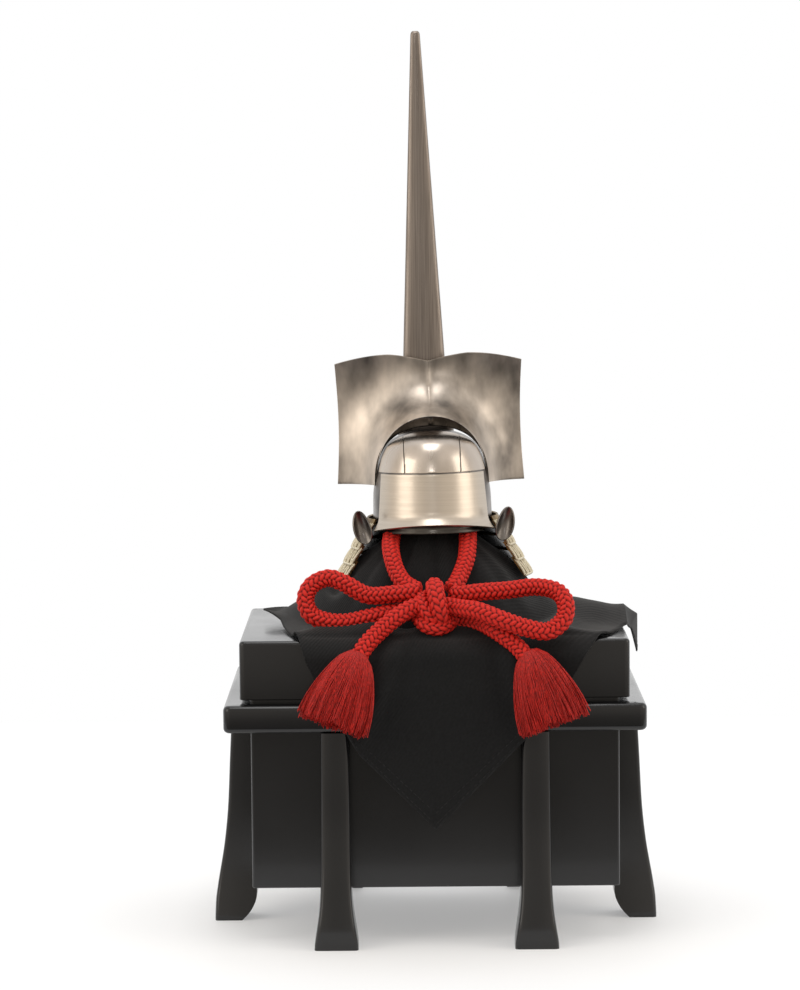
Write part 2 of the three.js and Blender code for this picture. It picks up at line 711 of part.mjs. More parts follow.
// spike: a tall blade with a rounded tip, in a socket on the dome
function spikeRing(z, extra) {
  const share = (z - spikeBottom) / spike.length;
  const half = spike.halfWidth + share * (spike.tipHalfWidth - spike.halfWidth) + extra;
  const thick = (spike.thickness + share * (spike.tipThickness - spike.thickness)) / 2 + extra;
  const ring = [];
  const sides = 16;
  for (let k = 0; k < sides; k += 1) {
    const turn = (2 * Math.PI * k) / sides;
    ring.push([spike.x + half * Math.cos(turn), spike.y + thick * Math.sin(turn), z]);
  }
  return ring;
}

function makeSpike(group) {
  const rings = [0, 0.5, 0.99].map((share) => spikeRing(spikeBottom + share * spike.length, 0));
  rings.push(spikeRing(spikeTop - 0.9, -0.9), spikeRing(spikeTop, -1.9));
  group.add(mesh('rear_spike', ringSolid(rings), finish.brushed));

  const high = spikeBottom + socket.height;
  const outer = ringSolid([spikeRing(spikeBottom - socket.root, socket.wall), spikeRing(high, socket.wall)]);
  const room = ringSolid([spikeRing(spikeBottom - gap, gap), spikeRing(high + 1, gap)]);
  const body = toSolid(outer).subtract(toSolid(room)).subtract(domeSolid(-domePlate.wall));
  group.add(mesh('spike_socket', toGeometry(body), finish.darkMetal));
}

// neck guard: lames that overlap downwards, open towards the face
function makeGuard(group) {
  const rise = (guard.topRise + guard.drop) / guard.lames;
  const widen = (guard.bottomHalfWidth - guard.topHalfWidth) / guard.lames;
  const tuck = (widen * guard.overlap) / rise + 1.6 * guard.wall + gap;
  for (let k = 0; k < guard.lames; k += 1) {
    const open = k > 0 ? guard.openAngle : guard.topOpenAngle;
    const top = helmet.rimHeight + guard.topRise - k * rise;
    const skin = (u, v, lift) => {
      const turn = THREE.MathUtils.degToRad(open + u * (360 - 2 * open));
      const z = top + (k > 0 ? guard.overlap : 0) * (1 - v) - v * rise;
      const half = guard.topHalfWidth + (k + v) * widen - (k > 0 ? (1 - v) * tuck : 0) + lift;
      const depth = half + bowl.backDepth - bowl.halfWidth;
      const reach = Math.cos(turn) > 0 ? half : depth;
      return [half * Math.sin(turn), -reach * Math.cos(turn), z];
    };
    const outer = (u, v) => skin(u, v, guard.wall);
    const inner = (u, v) => skin(u, v, 0);
    group.add(mesh(`neck_lame_${k + 1}`, wallSolid(22, 1, outer, inner), finish.gold));
  }
}

// side flaps: small leaves turned back at the ends of the neck guard, each with its rivet
function makeFlaps(group) {
  for (const [name, side] of [['left', -1], ['right', 1]]) {
    const skin = (u, v, lift) => {
      const turn = 2 * Math.PI * u;
      const across = flap.halfWidth * v * Math.sin(turn);
      const up = flap.halfHeight * v * Math.cos(turn);
      const curl = flap.curl * across * across;
      const x = side * (flap.x + across + flap.slant * up);
      return [x, flap.y - curl + lift, helmet.rimHeight - flap.drop + up];
    };
    const outer = (u, v) => skin(u, v, 0);
    const inner = (u, v) => skin(u, v, flap.wall);
    group.add(mesh(`side_flap_${name}`, wallSolid(14, 2, outer, inner, true), finish.darkMetal));

    const turn = THREE.MathUtils.degToRad(rivet.angle);
    const out = guard.topHalfWidth + guard.wall + rivet.drop + gap + rivet.height / 2;
    const pin = toGeometry(toSolid(new THREE.CylinderGeometry(rivet.radius, rivet.radius, rivet.height, 12)));
    const one = mesh(`flap_rivet_${name}`, pin, finish.silver);
    one.position.set(side * out * Math.sin(turn), -out * Math.cos(turn), helmet.rimHeight - rivet.drop);
    one.rotation.z = side * turn;
    group.add(one);
  }
}

// cord, knot and tassels
function cordTube(name, diameter, longer = 0) {
  const points = routes[name].map((p) => new THREE.Vector3(...p));
  for (const [end, inner] of [[0, 1], [points.length - 1, points.length - 2]]) {
    points[end].add(points[end].clone().sub(points[inner]).setLength(longer));
  }
  const curve = new THREE.CatmullRomCurve3(points, false, 'centripetal');
  const section = new THREE.Shape();
  for (let k = 0; k < cord.sides; k += 1) {
    const turn = (2 * Math.PI * k) / cord.sides;
    const [x, y] = [(diameter / 2) * Math.cos(turn), (diameter / 2) * Math.sin(turn)];
    if (k === 0) section.moveTo(x, y);
    else section.lineTo(x, y);
  }
  const steps = Math.max(4, Math.round(curve.getLength() / (cord.diameter * cord.stepShare)));
  return toSolid(new THREE.ExtrudeGeometry(section, { extrudePath: curve, steps }));
}

function makeKnot(group) {
  const rings = [];
  const rows = 8;
  const sides = 16;
  for (let r = 0; r <= rows; r += 1) {
    const turn = Math.PI * (r / rows - 0.5);
    const scale = Math.max(0.12, Math.cos(turn) ** 0.7);
    const rise = knot.halfHeight * Math.sin(turn);
    const ring = [];
    for (let k = 0; k < sides; k += 1) {
      const round = (2 * Math.PI * k) / sides;
      ring.push([
        knot.centre[0] + knot.halfWidth * scale * Math.cos(round),
        knot.centre[1] + knot.slope * rise + knot.halfDepth * scale * Math.sin(round),
        knot.centre[2] + rise,
      ]);
    }
    rings.push(ring);
  }
  let body = toSolid(ringSolid(rings));
  for (const name of Object.keys(routes)) body = body.subtract(cordTube(name, cord.diameter + 2 * gap, gap));
  group.add(mesh('cord_knot', toGeometry(largest(body)), finish.cordRed));
}

// tassel: share of its length, share of the skirt's width
const tasselRows = [[0, 0.2], [0.05, 0.42], [0.14, 0.6], [0.28, 0.72], [0.5, 0.85], [0.75, 0.95], [1, 1]];

function makeTassel(group, name, tail) {
  const { neck, swing, tilt } = tasselPlaces[name];
  const rings = tasselRows.map(([down, spread]) => {
    const ring = [];
    const count = tassel.locks * 2;
    for (let k = 0; k < count; k += 1) {
      const turn = (2 * Math.PI * k) / count;
      const lock = 1 + tassel.lockDepth * down * (k % 2 === 0 ? 1 : -1);
      const x = tassel.skirtWidth * spread * lock * Math.cos(turn);
      const y = tassel.skirtDepth * spread * lock * Math.sin(turn);
      ring.push([x, y, -tassel.length * down]);
    }
    return ring;
  });
  const shape = ringSolid(rings);
  shape.rotateX(-THREE.MathUtils.degToRad(tilt));
  shape.rotateY(THREE.MathUtils.degToRad(swing));
  shape.translate(...neck);
  const body = toSolid(shape).subtract(cordTube(tail, cord.diameter + 2 * gap, gap));
  group.add(mesh(name, toGeometry(largest(body)), finish.cordRed));
}

function build() {
  const whole = new THREE.Group();
  makeChest(whole);
  makeLegs(whole);
  makePost(whole);
  makeCloth(whole);

  const worn = new THREE.Group();
  makeBowl(worn);
  makeBrow(worn);
  makeCrest(worn);
  makeSpike(worn);
  makeGuard(worn);
  makeFlaps(worn);
  const pivot = new THREE.Group();
  pivot.position.set(0, 0, helmet.rimHeight);
  pivot.rotation.set(0, helmet.lean, helmet.turn);
  worn.position.set(0, 0, -helmet.rimHeight);
  pivot.add(worn);
  whole.add(pivot);

  for (const name of Object.keys(routes)) {
    whole.add(mesh(name, toGeometry(cordTube(name, cord.diameter)), finish.cordRed));
  }
  makeKnot(whole);
  makeTassel(whole, 'tassel_left', 'bow_cord_right');
  makeTassel(whole, 'tassel_right', 'bow_cord_left');
  return whole;
}

export default build();
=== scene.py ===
# ornamental samurai helmet on its lacquered chest, with cloth, braided cord and tassels
import math
import random

import bmesh
import bpy
import numpy as np
from mathutils import Matrix, Vector


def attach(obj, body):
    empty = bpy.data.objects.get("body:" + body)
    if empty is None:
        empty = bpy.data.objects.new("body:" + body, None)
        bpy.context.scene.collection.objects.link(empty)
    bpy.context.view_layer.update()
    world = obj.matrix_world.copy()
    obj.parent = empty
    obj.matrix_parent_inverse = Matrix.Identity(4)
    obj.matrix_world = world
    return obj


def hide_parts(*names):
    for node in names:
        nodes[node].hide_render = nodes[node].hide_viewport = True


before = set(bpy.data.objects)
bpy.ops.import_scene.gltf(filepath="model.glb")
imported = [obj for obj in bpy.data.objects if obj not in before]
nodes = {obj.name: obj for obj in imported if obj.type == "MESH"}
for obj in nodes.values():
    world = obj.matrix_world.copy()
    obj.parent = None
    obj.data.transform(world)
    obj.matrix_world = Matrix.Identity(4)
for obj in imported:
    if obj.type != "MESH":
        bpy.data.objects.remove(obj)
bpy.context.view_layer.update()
mm = 0.001
clearance = 0.3  # between pieces that lie on each other, in mm
print("frame loaded:", len(nodes), "nodes")


# helpers for meshes

def linkPiece(name, mesh, material, smooth=True):
    piece = bpy.data.objects.new(name.replace(" ", "_"), mesh)
    bpy.context.scene.collection.objects.link(piece)
    if material:
        mesh.materials.clear()
        mesh.materials.append(material)
    if smooth:
        mesh.polygons.foreach_set("use_smooth", [True] * len(mesh.polygons))
    return piece


def meshFrom(name, points, faces, outward=True):
    mesh = bpy.data.meshes.new(name)
    mesh.from_pydata(np.asarray(points, float).reshape(-1, 3).tolist(), [], faces)
    if outward:
        turnOutwards(mesh)
    mesh.update()
    return mesh


def turnOutwards(mesh):
    work = bmesh.new()
    work.from_mesh(mesh)
    bmesh.ops.remove_doubles(work, verts=work.verts, dist=1e-6)
    bmesh.ops.recalc_face_normals(work, faces=work.faces)
    work.to_mesh(mesh)
    work.free()


def gridFaces(rows, columns, closeRows=False, closeColumns=False):
    faces = []
    lastRow = rows if closeRows else rows - 1
    lastColumn = columns if closeColumns else columns - 1
    for r in range(lastRow):
        a, b = r * columns, ((r + 1) % rows) * columns
        for c in range(lastColumn):
            d = (c + 1) % columns
            faces.append((a + c, a + d, b + d, b + c))
    return faces


def giveUv(mesh, coordinates):
    # coordinates: one pair per vertex
    layer = mesh.uv_layers.new(name="UVMap")
    index = np.empty(len(mesh.loops), np.int32)
    mesh.loops.foreach_get("vertex_index", index)
    layer.data.foreach_set("uv", np.asarray(coordinates, float)[index].ravel())


def giveValue(mesh, name, values):
    attribute = mesh.attributes.new(name, "FLOAT", "POINT")
    attribute.data.foreach_set("value", np.asarray(values, float).ravel())


def finishMesh(piece):
    # modifiers into the plain mesh
    graph = bpy.context.evaluated_depsgraph_get()
    made = bpy.data.meshes.new_from_object(piece.evaluated_get(graph))
    old = piece.data
    piece.modifiers.clear()
    piece.data = made
    bpy.data.meshes.remove(old)


def addSolidify(piece, thickness, offset=-1.0):
    wall = piece.modifiers.new("wall", "SOLIDIFY")
    wall.thickness = thickness
    wall.offset = offset
    wall.use_even_offset = True
    return wall


def addBevel(piece, width, segments=3, angle=35):
    edge = piece.modifiers.new("edge", "BEVEL")
    edge.width = width
    edge.segments = segments
    edge.limit_method = "ANGLE"
    edge.angle_limit = math.radians(angle)
    edge.harden_normals = True
    return edge


def smoothRows(table, count):
    # a smooth run through the rows of a table, at even steps
    return resample(centripetal(table), count)


def centripetal(points, perSpan=24):
    # a smooth curve through the points, as a fine polyline
    points = np.asarray(points, float)
    run = np.vstack([2 * points[0] - points[1], points, 2 * points[-1] - points[-2]])
    t = np.linspace(0, 1, perSpan, endpoint=False)[:, None]
    out = []
    for i in range(len(points) - 1):
        p0, p1, p2, p3 = run[i:i + 4]
        d0, d1, d2 = (max(np.linalg.norm(b - a), 1e-8) ** 0.5 for a, b in ((p0, p1), (p1, p2), (p2, p3)))
        m1 = ((p1 - p0) / d0 - (p2 - p0) / (d0 + d1) + (p2 - p1) / d1) * d1
        m2 = ((p2 - p1) / d1 - (p3 - p1) / (d1 + d2) + (p3 - p2) / d2) * d1
        out.append(p1 + m1 * t + (3 * (p2 - p1) - 2 * m1 - m2) * t ** 2 + (2 * (p1 - p2) + m1 + m2) * t ** 3)
    out.append(points[-1:])
    return np.vstack(out)


def resample(line, count):
    # the same line with points at even distances
    steps = np.linalg.norm(np.diff(line, axis=0), axis=1)
    along = np.concatenate([[0], np.cumsum(steps)])
    want = np.linspace(0, along[-1], count)
    return np.stack([np.interp(want, along, line[:, k]) for k in range(line.shape[1])], axis=1)


# helpers for materials

def newMaterial(name):
    material = bpy.data.materials.new(name)
    material.use_nodes = True
    tree = material.node_tree
    shader = tree.nodes["Principled BSDF"]
    return material, tree, shader


def addNode(tree, kind, **values):
    # values: the node's own settings or its inputs, by name
    node = tree.nodes.new(kind)
    for key, value in values.items():
        if hasattr(node, key):
            setattr(node, key, value)
        else:
            node.inputs[key].default_value = value
    return node


def setShader(shader, **values):
    names = {
        "baseColor": "Base Color", "roughness": "Roughness", "metallic": "Metallic",
        "coat": "Coat Weight", "coatRoughness": "Coat Roughness", "specular": "Specular IOR Level",
        "sheen": "Sheen Weight", "sheenRoughness": "Sheen Roughness", "emissionColor": "Emission Color",
    }
    for key, value in values.items():
        shader.inputs[names[key]].default_value = value


def colour(r, g, b):
    return (r, g, b, 1.0)


def makeGroup(name, inputs, outputs):
    group = bpy.data.node_groups.new(name, "ShaderNodeTree")
    for label, kind, value in inputs:
        made = group.interface.new_socket(label, in_out="INPUT", socket_type=kind)
        if value is not None:
            made.default_value = value
    for label, kind in outputs:
        group.interface.new_socket(label, in_out="OUTPUT", socket_type=kind)
    return group, group.nodes.new("NodeGroupInput"), group.nodes.new("NodeGroupOutput")


def mapRange(tree, fromMin, fromMax, toMin=0.0, **values):
    node = addNode(tree, "ShaderNodeMapRange", **values)
    node.inputs["From Min"].default_value = fromMin
    node.inputs["From Max"].default_value = fromMax
    node.inputs["To Min"].default_value = toMin
    return node


# slow unevenness of a surface: a value between Low and High and a height for a bump
uneven, unevenIn, unevenOut = makeGroup(
    "uneven surface",
    [("Scale", "NodeSocketFloat", 30.0), ("Stretch", "NodeSocketVector", (1.0, 1.0, 1.0)),
     ("Low", "NodeSocketFloat", 0.2), ("High", "NodeSocketFloat", 0.3)],
    [("Value", "NodeSocketFloat"), ("Height", "NodeSocketFloat")],
)
place = addNode(uneven, "ShaderNodeTexCoord")
stretch = addNode(uneven, "ShaderNodeVectorMath", operation="MULTIPLY")
grain = addNode(uneven, "ShaderNodeTexNoise", Detail=4.0)
span = mapRange(uneven, 0.3, 0.7)
uneven.links.new(place.outputs["Object"], stretch.inputs[0])
uneven.links.new(unevenIn.outputs["Stretch"], stretch.inputs[1])
uneven.links.new(stretch.outputs[0], grain.inputs["Vector"])
uneven.links.new(unevenIn.outputs["Scale"], grain.inputs["Scale"])
uneven.links.new(grain.outputs["Fac"], span.inputs["Value"])
uneven.links.new(unevenIn.outputs["Low"], span.inputs["To Min"])
uneven.links.new(unevenIn.outputs["High"], span.inputs["To Max"])
uneven.links.new(span.outputs["Result"], unevenOut.inputs["Value"])
uneven.links.new(grain.outputs["Fac"], unevenOut.inputs["Height"])


even = (1, 1, 1)


def placeUneven(tree, scale, stretchBy=even, low=0.0, high=1.0):
    return addNode(tree, "ShaderNodeGroup", node_tree=uneven, Scale=scale, Stretch=stretchBy, Low=low, High=high)


def mixColours(tree, factor, first, second):
    node = tree.nodes.new("ShaderNodeMix")
    node.data_type = "RGBA"
    node.inputs["A"].default_value = first
    node.inputs["B"].default_value = second
    tree.links.new(factor, node.inputs["Factor"])
    return node.outputs["Result"]


def addBump(tree, shader, height, distance, strength):
    bump = addNode(tree, "ShaderNodeBump", Distance=distance, Strength=strength)
    tree.links.new(height, bump.inputs["Height"])
    tree.links.new(bump.outputs["Normal"], shader.inputs["Normal"])


# finishes

# roughness runs from low to high; each scale, stretch and bump belongs to an unevenness of the surface
lacquerLook = {
    "colour": (0.0062, 0.0062, 0.0068), "roughness": 0.2, "specular": 0.42, "coat": 0.2, "coatRoughness": 0.08,
    "low": 0.16, "high": 0.26, "wideScale": 9, "fineScale": 42, "bump": 0.00022, "bumpStrength": 0.25,
}
# for each metal: dark and light colour, low and high roughness, scale and stretch of its streaks, bump
metalLooks = {
    "polished silver": ((0.46, 0.4, 0.345), (0.6, 0.53, 0.46), 0.2, 0.32, 55, (1, 1, 0.35), 0.00002),
    "brow plate silver": ((0.53, 0.465, 0.39), (0.59, 0.52, 0.44), 0.27, 0.36, 60, (0.3, 0.3, 22), 0.000008),
    "crest silver": ((0.14, 0.125, 0.112), (0.74, 0.65, 0.56), 0.38, 0.5, 42, (1, 1, 0.5), 0.0007),
    "brushed spike metal": ((0.19, 0.16, 0.138), (0.3, 0.258, 0.225), 0.3, 0.42, 170, (9, 9, 0.06), 0.00002),
    "dark metal": ((0.1, 0.09, 0.082), (0.26, 0.235, 0.215), 0.22, 0.4, 70, even, 0.00003),
    # the next, darkest silver is the silver darkened as painted shade, for the crest's turned lip and the visor lip
    "silver darkened as painted shade": ((0.03, 0.027, 0.024), (0.1, 0.09, 0.08), 0.22, 0.36, 60, even, 0.00003),
    "old gold": ((0.09, 0.055, 0.02), (0.3, 0.2, 0.08), 0.3, 0.5, 160, even, 0.00004),
    "rivet silver": ((0.5, 0.45, 0.4), (0.7, 0.66, 0.6), 0.12, 0.2, 200, even, 0.00001),
}
glossScale = 0.7  # the metals' gloss varies more slowly than their colour
braidLook = {
    # dark is painted shade in the gaps between the strands, light the cord's red on their tops
    "dark": (0.05, 0.0015, 0.0015), "light": (0.6, 0.018, 0.01), "roughness": 0.6, "specular": 0.25,
    "scale": 1900, "bump": 0.0002,
}
threadLook = {
    "dark": (0.16, 0.003, 0.002), "light": (0.6, 0.018, 0.01), "roughness": 0.5, "specular": 0.3,
    "scale": 1500, "stretch": (1, 1, 0.04),
}
clothLook = {
    "dark": (0.0042, 0.0043, 0.0046), "light": (0.0072, 0.0073, 0.0077), "roughness": 0.92, "specular": 0.2,
    "sheen": 0.12, "sheenRoughness": 0.5, "twillScale": 150, "twillWobble": 0.6, "twillShare": 0.7,
    "scale": 620, "bump": 0.0003,
}
woodLook = {
    "dark": (0.22, 0.12, 0.05), "light": (0.42, 0.27, 0.13), "roughness": 0.65, "scale": 60, "stretch": (1, 1, 0.08),
}
ivoryLook = {
    "dark": (0.52, 0.45, 0.3), "light": (0.78, 0.72, 0.56), "roughness": 0.7, "sheen": 0.2, "scale": 900,
    "stretch": even,
}


def makeLacquer():
    look = lacquerLook
    material, tree, shader = newMaterial("black lacquer")
    setShader(shader, baseColor=colour(*look["colour"]), roughness=look["roughness"], specular=look["specular"],
              coat=look["coat"], coatRoughness=look["coatRoughness"])
    wide = placeUneven(tree, look["wideScale"], even, look["low"], look["high"])
    tree.links.new(wide.outputs["Value"], shader.inputs["Roughness"])
    fine = placeUneven(tree, look["fineScale"])
    addBump(tree, shader, fine.outputs["Height"], look["bump"], look["bumpStrength"])
    return material


def makeMetal(name):
    dark, light, low, high, scale, stretchBy, bump = metalLooks[name]
    material, tree, shader = newMaterial(name)
    setShader(shader, metallic=1.0, roughness=low, baseColor=colour(*light))
    streak = placeUneven(tree, scale, stretchBy)
    tint = mixColours(tree, streak.outputs["Value"], colour(*dark), colour(*light))
    tree.links.new(tint, shader.inputs["Base Color"])
    gloss = placeUneven(tree, scale * glossScale, stretchBy, low, high)
    tree.links.new(gloss.outputs["Value"], shader.inputs["Roughness"])
    addBump(tree, shader, streak.outputs["Height"], bump, 0.5)
    return material


def makeBraid():
    look = braidLook
    material, tree, shader = newMaterial("red braided silk")
    setShader(shader, roughness=look["roughness"], specular=look["specular"])
    # the gaps between the strands are painted dark as shade, by the crease value from the braid's relief
    crease = addNode(tree, "ShaderNodeAttribute", attribute_name="crease")
    red = mixColours(tree, crease.outputs["Fac"], colour(*look["dark"]), colour(*look["light"]))
    tree.links.new(red, shader.inputs["Base Color"])
    fine = placeUneven(tree, look["scale"])
    addBump(tree, shader, fine.outputs["Height"], look["bump"], 0.5)
    return material


def makeGrained(name, look):
    # thread, wood and lacing: only the colour varies
    material, tree, shader = newMaterial(name)
    setShader(shader, **{key: look[key] for key in ("roughness", "specular", "sheen") if key in look})
    tone = placeUneven(tree, look["scale"], look["stretch"])
    tint = mixColours(tree, tone.outputs["Value"], colour(*look["dark"]), colour(*look["light"]))
    tree.links.new(tint, shader.inputs["Base Color"])
    return material


def makeCloth():
    look = clothLook
    material, tree, shader = newMaterial("black twill")
    setShader(shader, roughness=look["roughness"], specular=look["specular"], sheen=look["sheen"],
              sheenRoughness=look["sheenRoughness"])
    uv = addNode(tree, "ShaderNodeUVMap", uv_map="UVMap")
    twill = addNode(tree, "ShaderNodeTexWave", wave_type="BANDS", bands_direction="DIAGONAL",
                    Scale=look["twillScale"], Distortion=look["twillWobble"])
    tree.links.new(uv.outputs["UV"], twill.inputs["Vector"])
    slub = placeUneven(tree, look["scale"])
    weave = addNode(tree, "ShaderNodeMath", operation="MULTIPLY_ADD")
    tree.links.new(twill.outputs["Fac"], weave.inputs[0])
    weave.inputs[1].default_value = look["twillShare"]
    tree.links.new(slub.outputs["Height"], weave.inputs[2])
    tint = mixColours(tree, slub.outputs["Value"], colour(*look["dark"]), colour(*look["light"]))
    tree.links.new(tint, shader.inputs["Base Color"])
    addBump(tree, shader, weave.outputs[0], look["bump"], 0.5)
    return material


lacquer = makeLacquer()
polished, browMetal, crestMetal, spikeMetal, darkMetal, paintedShadeSilver, goldMetal, rivetMetal = (
    makeMetal(name) for name in metalLooks
)
braidRed = makeBraid()
threadRed = makeGrained("red tassel thread", threadLook)
twillBlack = makeCloth()
wood = makeGrained("plain wood", woodLook)
ivory = makeGrained("ivory lacing", ivoryLook)
print("finishes made")


def makeThreadTree():
    # a round thread along every line of a mesh, its far end as thick as Taper says
    tree = bpy.data.node_groups.new("thread along lines", "GeometryNodeTree")
    sockets = {}
    for label, kind, value in (
        ("Geometry", "NodeSocketGeometry", None), ("Radius", "NodeSocketFloat", 0.0004),
        ("Sides", "NodeSocketInt", 4), ("Taper", "NodeSocketFloat", 1.0), ("Material", "NodeSocketMaterial", None),
    ):
        made = tree.interface.new_socket(label, in_out="INPUT", socket_type=kind)
        if value is not None:
            made.default_value = value
        sockets[label] = made.identifier
    tree.interface.new_socket("Geometry", in_out="OUTPUT", socket_type="NodeSocketGeometry")
    given, result = tree.nodes.new("NodeGroupInput"), tree.nodes.new("NodeGroupOutput")
    toCurve = tree.nodes.new("GeometryNodeMeshToCurve")
    along = tree.nodes.new("GeometryNodeSplineParameter")
    thin = addNode(tree, "ShaderNodeMapRange")
    setRadius = tree.nodes.new("GeometryNodeSetCurveRadius")
    circle = addNode(tree, "GeometryNodeCurvePrimitiveCircle")
    toMesh = tree.nodes.new("GeometryNodeCurveToMesh")
    toMesh.inputs["Fill Caps"].default_value = True
    realize = tree.nodes.new("GeometryNodeRealizeInstances")
    setMaterial = tree.nodes.new("GeometryNodeSetMaterial")
    link = tree.links.new
    link(given.outputs["Geometry"], toCurve.inputs["Mesh"])
    link(toCurve.outputs["Curve"], setRadius.inputs["Curve"])
    link(along.outputs["Factor"], thin.inputs["Value"])
    thin.inputs["To Min"].default_value = 1.0
    link(given.outputs["Taper"], thin.inputs["To Max"])
    link(thin.outputs["Result"], setRadius.inputs["Radius"])
    link(given.outputs["Sides"], circle.inputs["Resolution"])
    link(given.outputs["Radius"], circle.inputs["Radius"])
    link(setRadius.outputs["Curve"], toMesh.inputs["Curve"])
    link(circle.outputs["Curve"], toMesh.inputs["Profile Curve"])
    link(thin.outputs["Result"], toMesh.inputs["Scale"])
    link(toMesh.outputs["Mesh"], realize.inputs["Geometry"])
    link(realize.outputs["Geometry"], setMaterial.inputs["Geometry"])
    link(given.outputs["Material"], setMaterial.inputs["Material"])
    link(setMaterial.outputs["Geometry"], result.inputs["Geometry"])
    return tree, sockets


threadTree, threadSockets = makeThreadTree()


def threadPiece(name, lines, radius, sides, material, taper=1.0):
    # lines: arrays of points in metres; each becomes one thread
    points, edges = [], []
    for line in lines:
        start = len(points)
        points += [tuple(p) for p in line]
        edges += [(start + k, start + k + 1) for k in range(len(line) - 1)]
    mesh = bpy.data.meshes.new(name)
    mesh.from_pydata(points, edges, [])
    piece = linkPiece(name, mesh, None, smooth=False)
    modifier = piece.modifiers.new("thread", "NODES")
    modifier.node_group = threadTree
    modifier[threadSockets["Radius"]] = radius
    modifier[threadSockets["Sides"]] = sides
    modifier[threadSockets["Taper"]] = taper
    modifier[threadSockets["Material"]] = material
    finishMesh(piece)
    piece.data.polygons.foreach_set("use_smooth", [True] * len(piece.data.polygons))
    return piece


# stage: a pale floor that fades to white, soft light and the camera

# metres; the floor glows as painted light: faintly in the middle, lifting the shadows there, and its grey gives way to
# a white glow with the distance from the middle
stageLook = {
    "halfWidth": 0.9, "front": -0.36, "back": 0.9, "fadeFrom": 0.14, "fadeTo": 0.34, "glow": 0.3,
    "colour": (0.93, 0.93, 0.93), "roughness": 0.6, "specular": 0.15,
}
white, black = colour(1, 1, 1), colour(0, 0, 0)


def makeStage():
    material, tree, shader = newMaterial("pale floor")
    pale = colour(*stageLook["colour"])
    setShader(shader, baseColor=pale, roughness=stageLook["roughness"], specular=stageLook["specular"],
              emissionColor=white)
    place = addNode(tree, "ShaderNodeTexCoord")
    away = addNode(tree, "ShaderNodeVectorMath", operation="LENGTH")
    tree.links.new(place.outputs["Object"], away.inputs[0])
    fade = mapRange(tree, stageLook["fadeFrom"], stageLook["fadeTo"], stageLook["glow"],
                    interpolation_type="SMOOTHSTEP")
    tree.links.new(away.outputs["Value"], fade.inputs["Value"])
    tree.links.new(mixColours(tree, fade.outputs["Result"], pale, black), shader.inputs["Base Color"])
    tree.links.new(fade.outputs["Result"], shader.inputs["Emission Strength"])
    w = stageLook["halfWidth"]
    points = [(x, y, 0) for y in (stageLook["front"], stageLook["back"]) for x in (-w, w)]
    floor = linkPiece("floor", meshFrom("floor", points, [(0, 1, 3, 2)], False), material)


# softboxes: place and aim in metres, width and height, power in watts, tint
warm = (1.0, 0.95, 0.88)
softboxes = {
    "top softbox": ((-0.03, -0.5, 2.1), (0, 0, 0.25), (0.7, 1.2), 10, (1, 1, 1)),
    "left softbox": ((-1.7, -1.2, 0.9), (0, 0, 0.3), (1.2, 1.3), 9, warm),
    "right softbox": ((1.8, -0.7, 0.9), (0, 0, 0.3), (1.0, 1.4), 7.5, warm),
    "camera softbox": ((-0.05, -2.6, 1.15), (0, 0, 0.28), (0.16, 0.2), 2.5, (1, 1, 1)),
}


def makeSoftbox(name, place, aim, size, power, tint):
    data = bpy.data.lights.new(name, "AREA")
    data.shape = "RECTANGLE"
    data.size, data.size_y = size
    data.energy = power
    data.color = tint
    light = bpy.data.objects.new(name, data)
    bpy.context.scene.collection.objects.link(light)
    light.location = place
    light.rotation_euler = (Vector(aim) - Vector(place)).to_track_quat("-Z", "Y").to_euler()


world = {
    # tones in front of the object by height, from straight down to straight up
    "front": (
        (0.3, (0.1, 0.095, 0.09)), (0.43, (0.4, 0.37, 0.33)), (0.48, (0.85, 0.78, 0.7)),
        (0.56, (1.0, 0.92, 0.82)), (0.66, (0.7, 0.65, 0.58)), (0.78, (1.0, 0.94, 0.87)), (1.0, (0.85, 0.81, 0.76)),
    ),
    # a darker stripe straight in front
    "stripe": 0.6, "stripeFrom": 0.06, "stripeTo": 0.34,
    # from there backwards all is white
    "whiteFrom": -0.12, "whiteTo": 0.3,
}


def makeWorld():
    studio = bpy.data.worlds.new("studio")
    bpy.context.scene.world = studio
    studio.use_nodes = True
    tree = studio.node_tree
    background = tree.nodes["Background"]
    where = tree.nodes.new("ShaderNodeTexCoord")
    split = tree.nodes.new("ShaderNodeSeparateXYZ")
    tree.links.new(where.outputs["Generated"], split.inputs[0])
    lift = addNode(tree, "ShaderNodeMath", operation="MULTIPLY_ADD")
    for socket in (1, 2):
        lift.inputs[socket].default_value = 0.5
    tree.links.new(split.outputs["Z"], lift.inputs[0])
    tones = addNode(tree, "ShaderNodeValToRGB")
    ramp = tones.color_ramp
    for element, (position, tone) in zip(ramp.elements, (world["front"][0], world["front"][-1])):
        element.position, element.color = position, colour(*tone)
    for position, tone in world["front"][1:-1]:
        ramp.elements.new(position).color = colour(*tone)
    tree.links.new(lift.outputs[0], tones.inputs["Fac"])
    sideways = addNode(tree, "ShaderNodeMath", operation="ABSOLUTE")
    tree.links.new(split.outputs["X"], sideways.inputs[0])
    stripe = mapRange(tree, world["stripeFrom"], world["stripeTo"], world["stripe"], interpolation_type="SMOOTHSTEP")
    tree.links.new(sideways.outputs[0], stripe.inputs["Value"])
    dimmed = mixColours(tree, stripe.outputs["Result"], black, white)
    tree.links.new(tones.outputs["Color"], dimmed.node.inputs["B"])
    behind = mapRange(tree, world["whiteFrom"], world["whiteTo"], interpolation_type="SMOOTHSTEP")
    tree.links.new(split.outputs["Y"], behind.inputs["Value"])
    around = mixColours(tree, behind.outputs["Result"], white, white)
    tree.links.new(dimmed, around.node.inputs["A"])
    ray = addNode(tree, "ShaderNodeLightPath")
    seen = mixColours(tree, ray.outputs["Is Camera Ray"], white, white)
    tree.links.new(around, seen.node.inputs["A"])
    tree.links.new(seen, background.inputs["Color"])


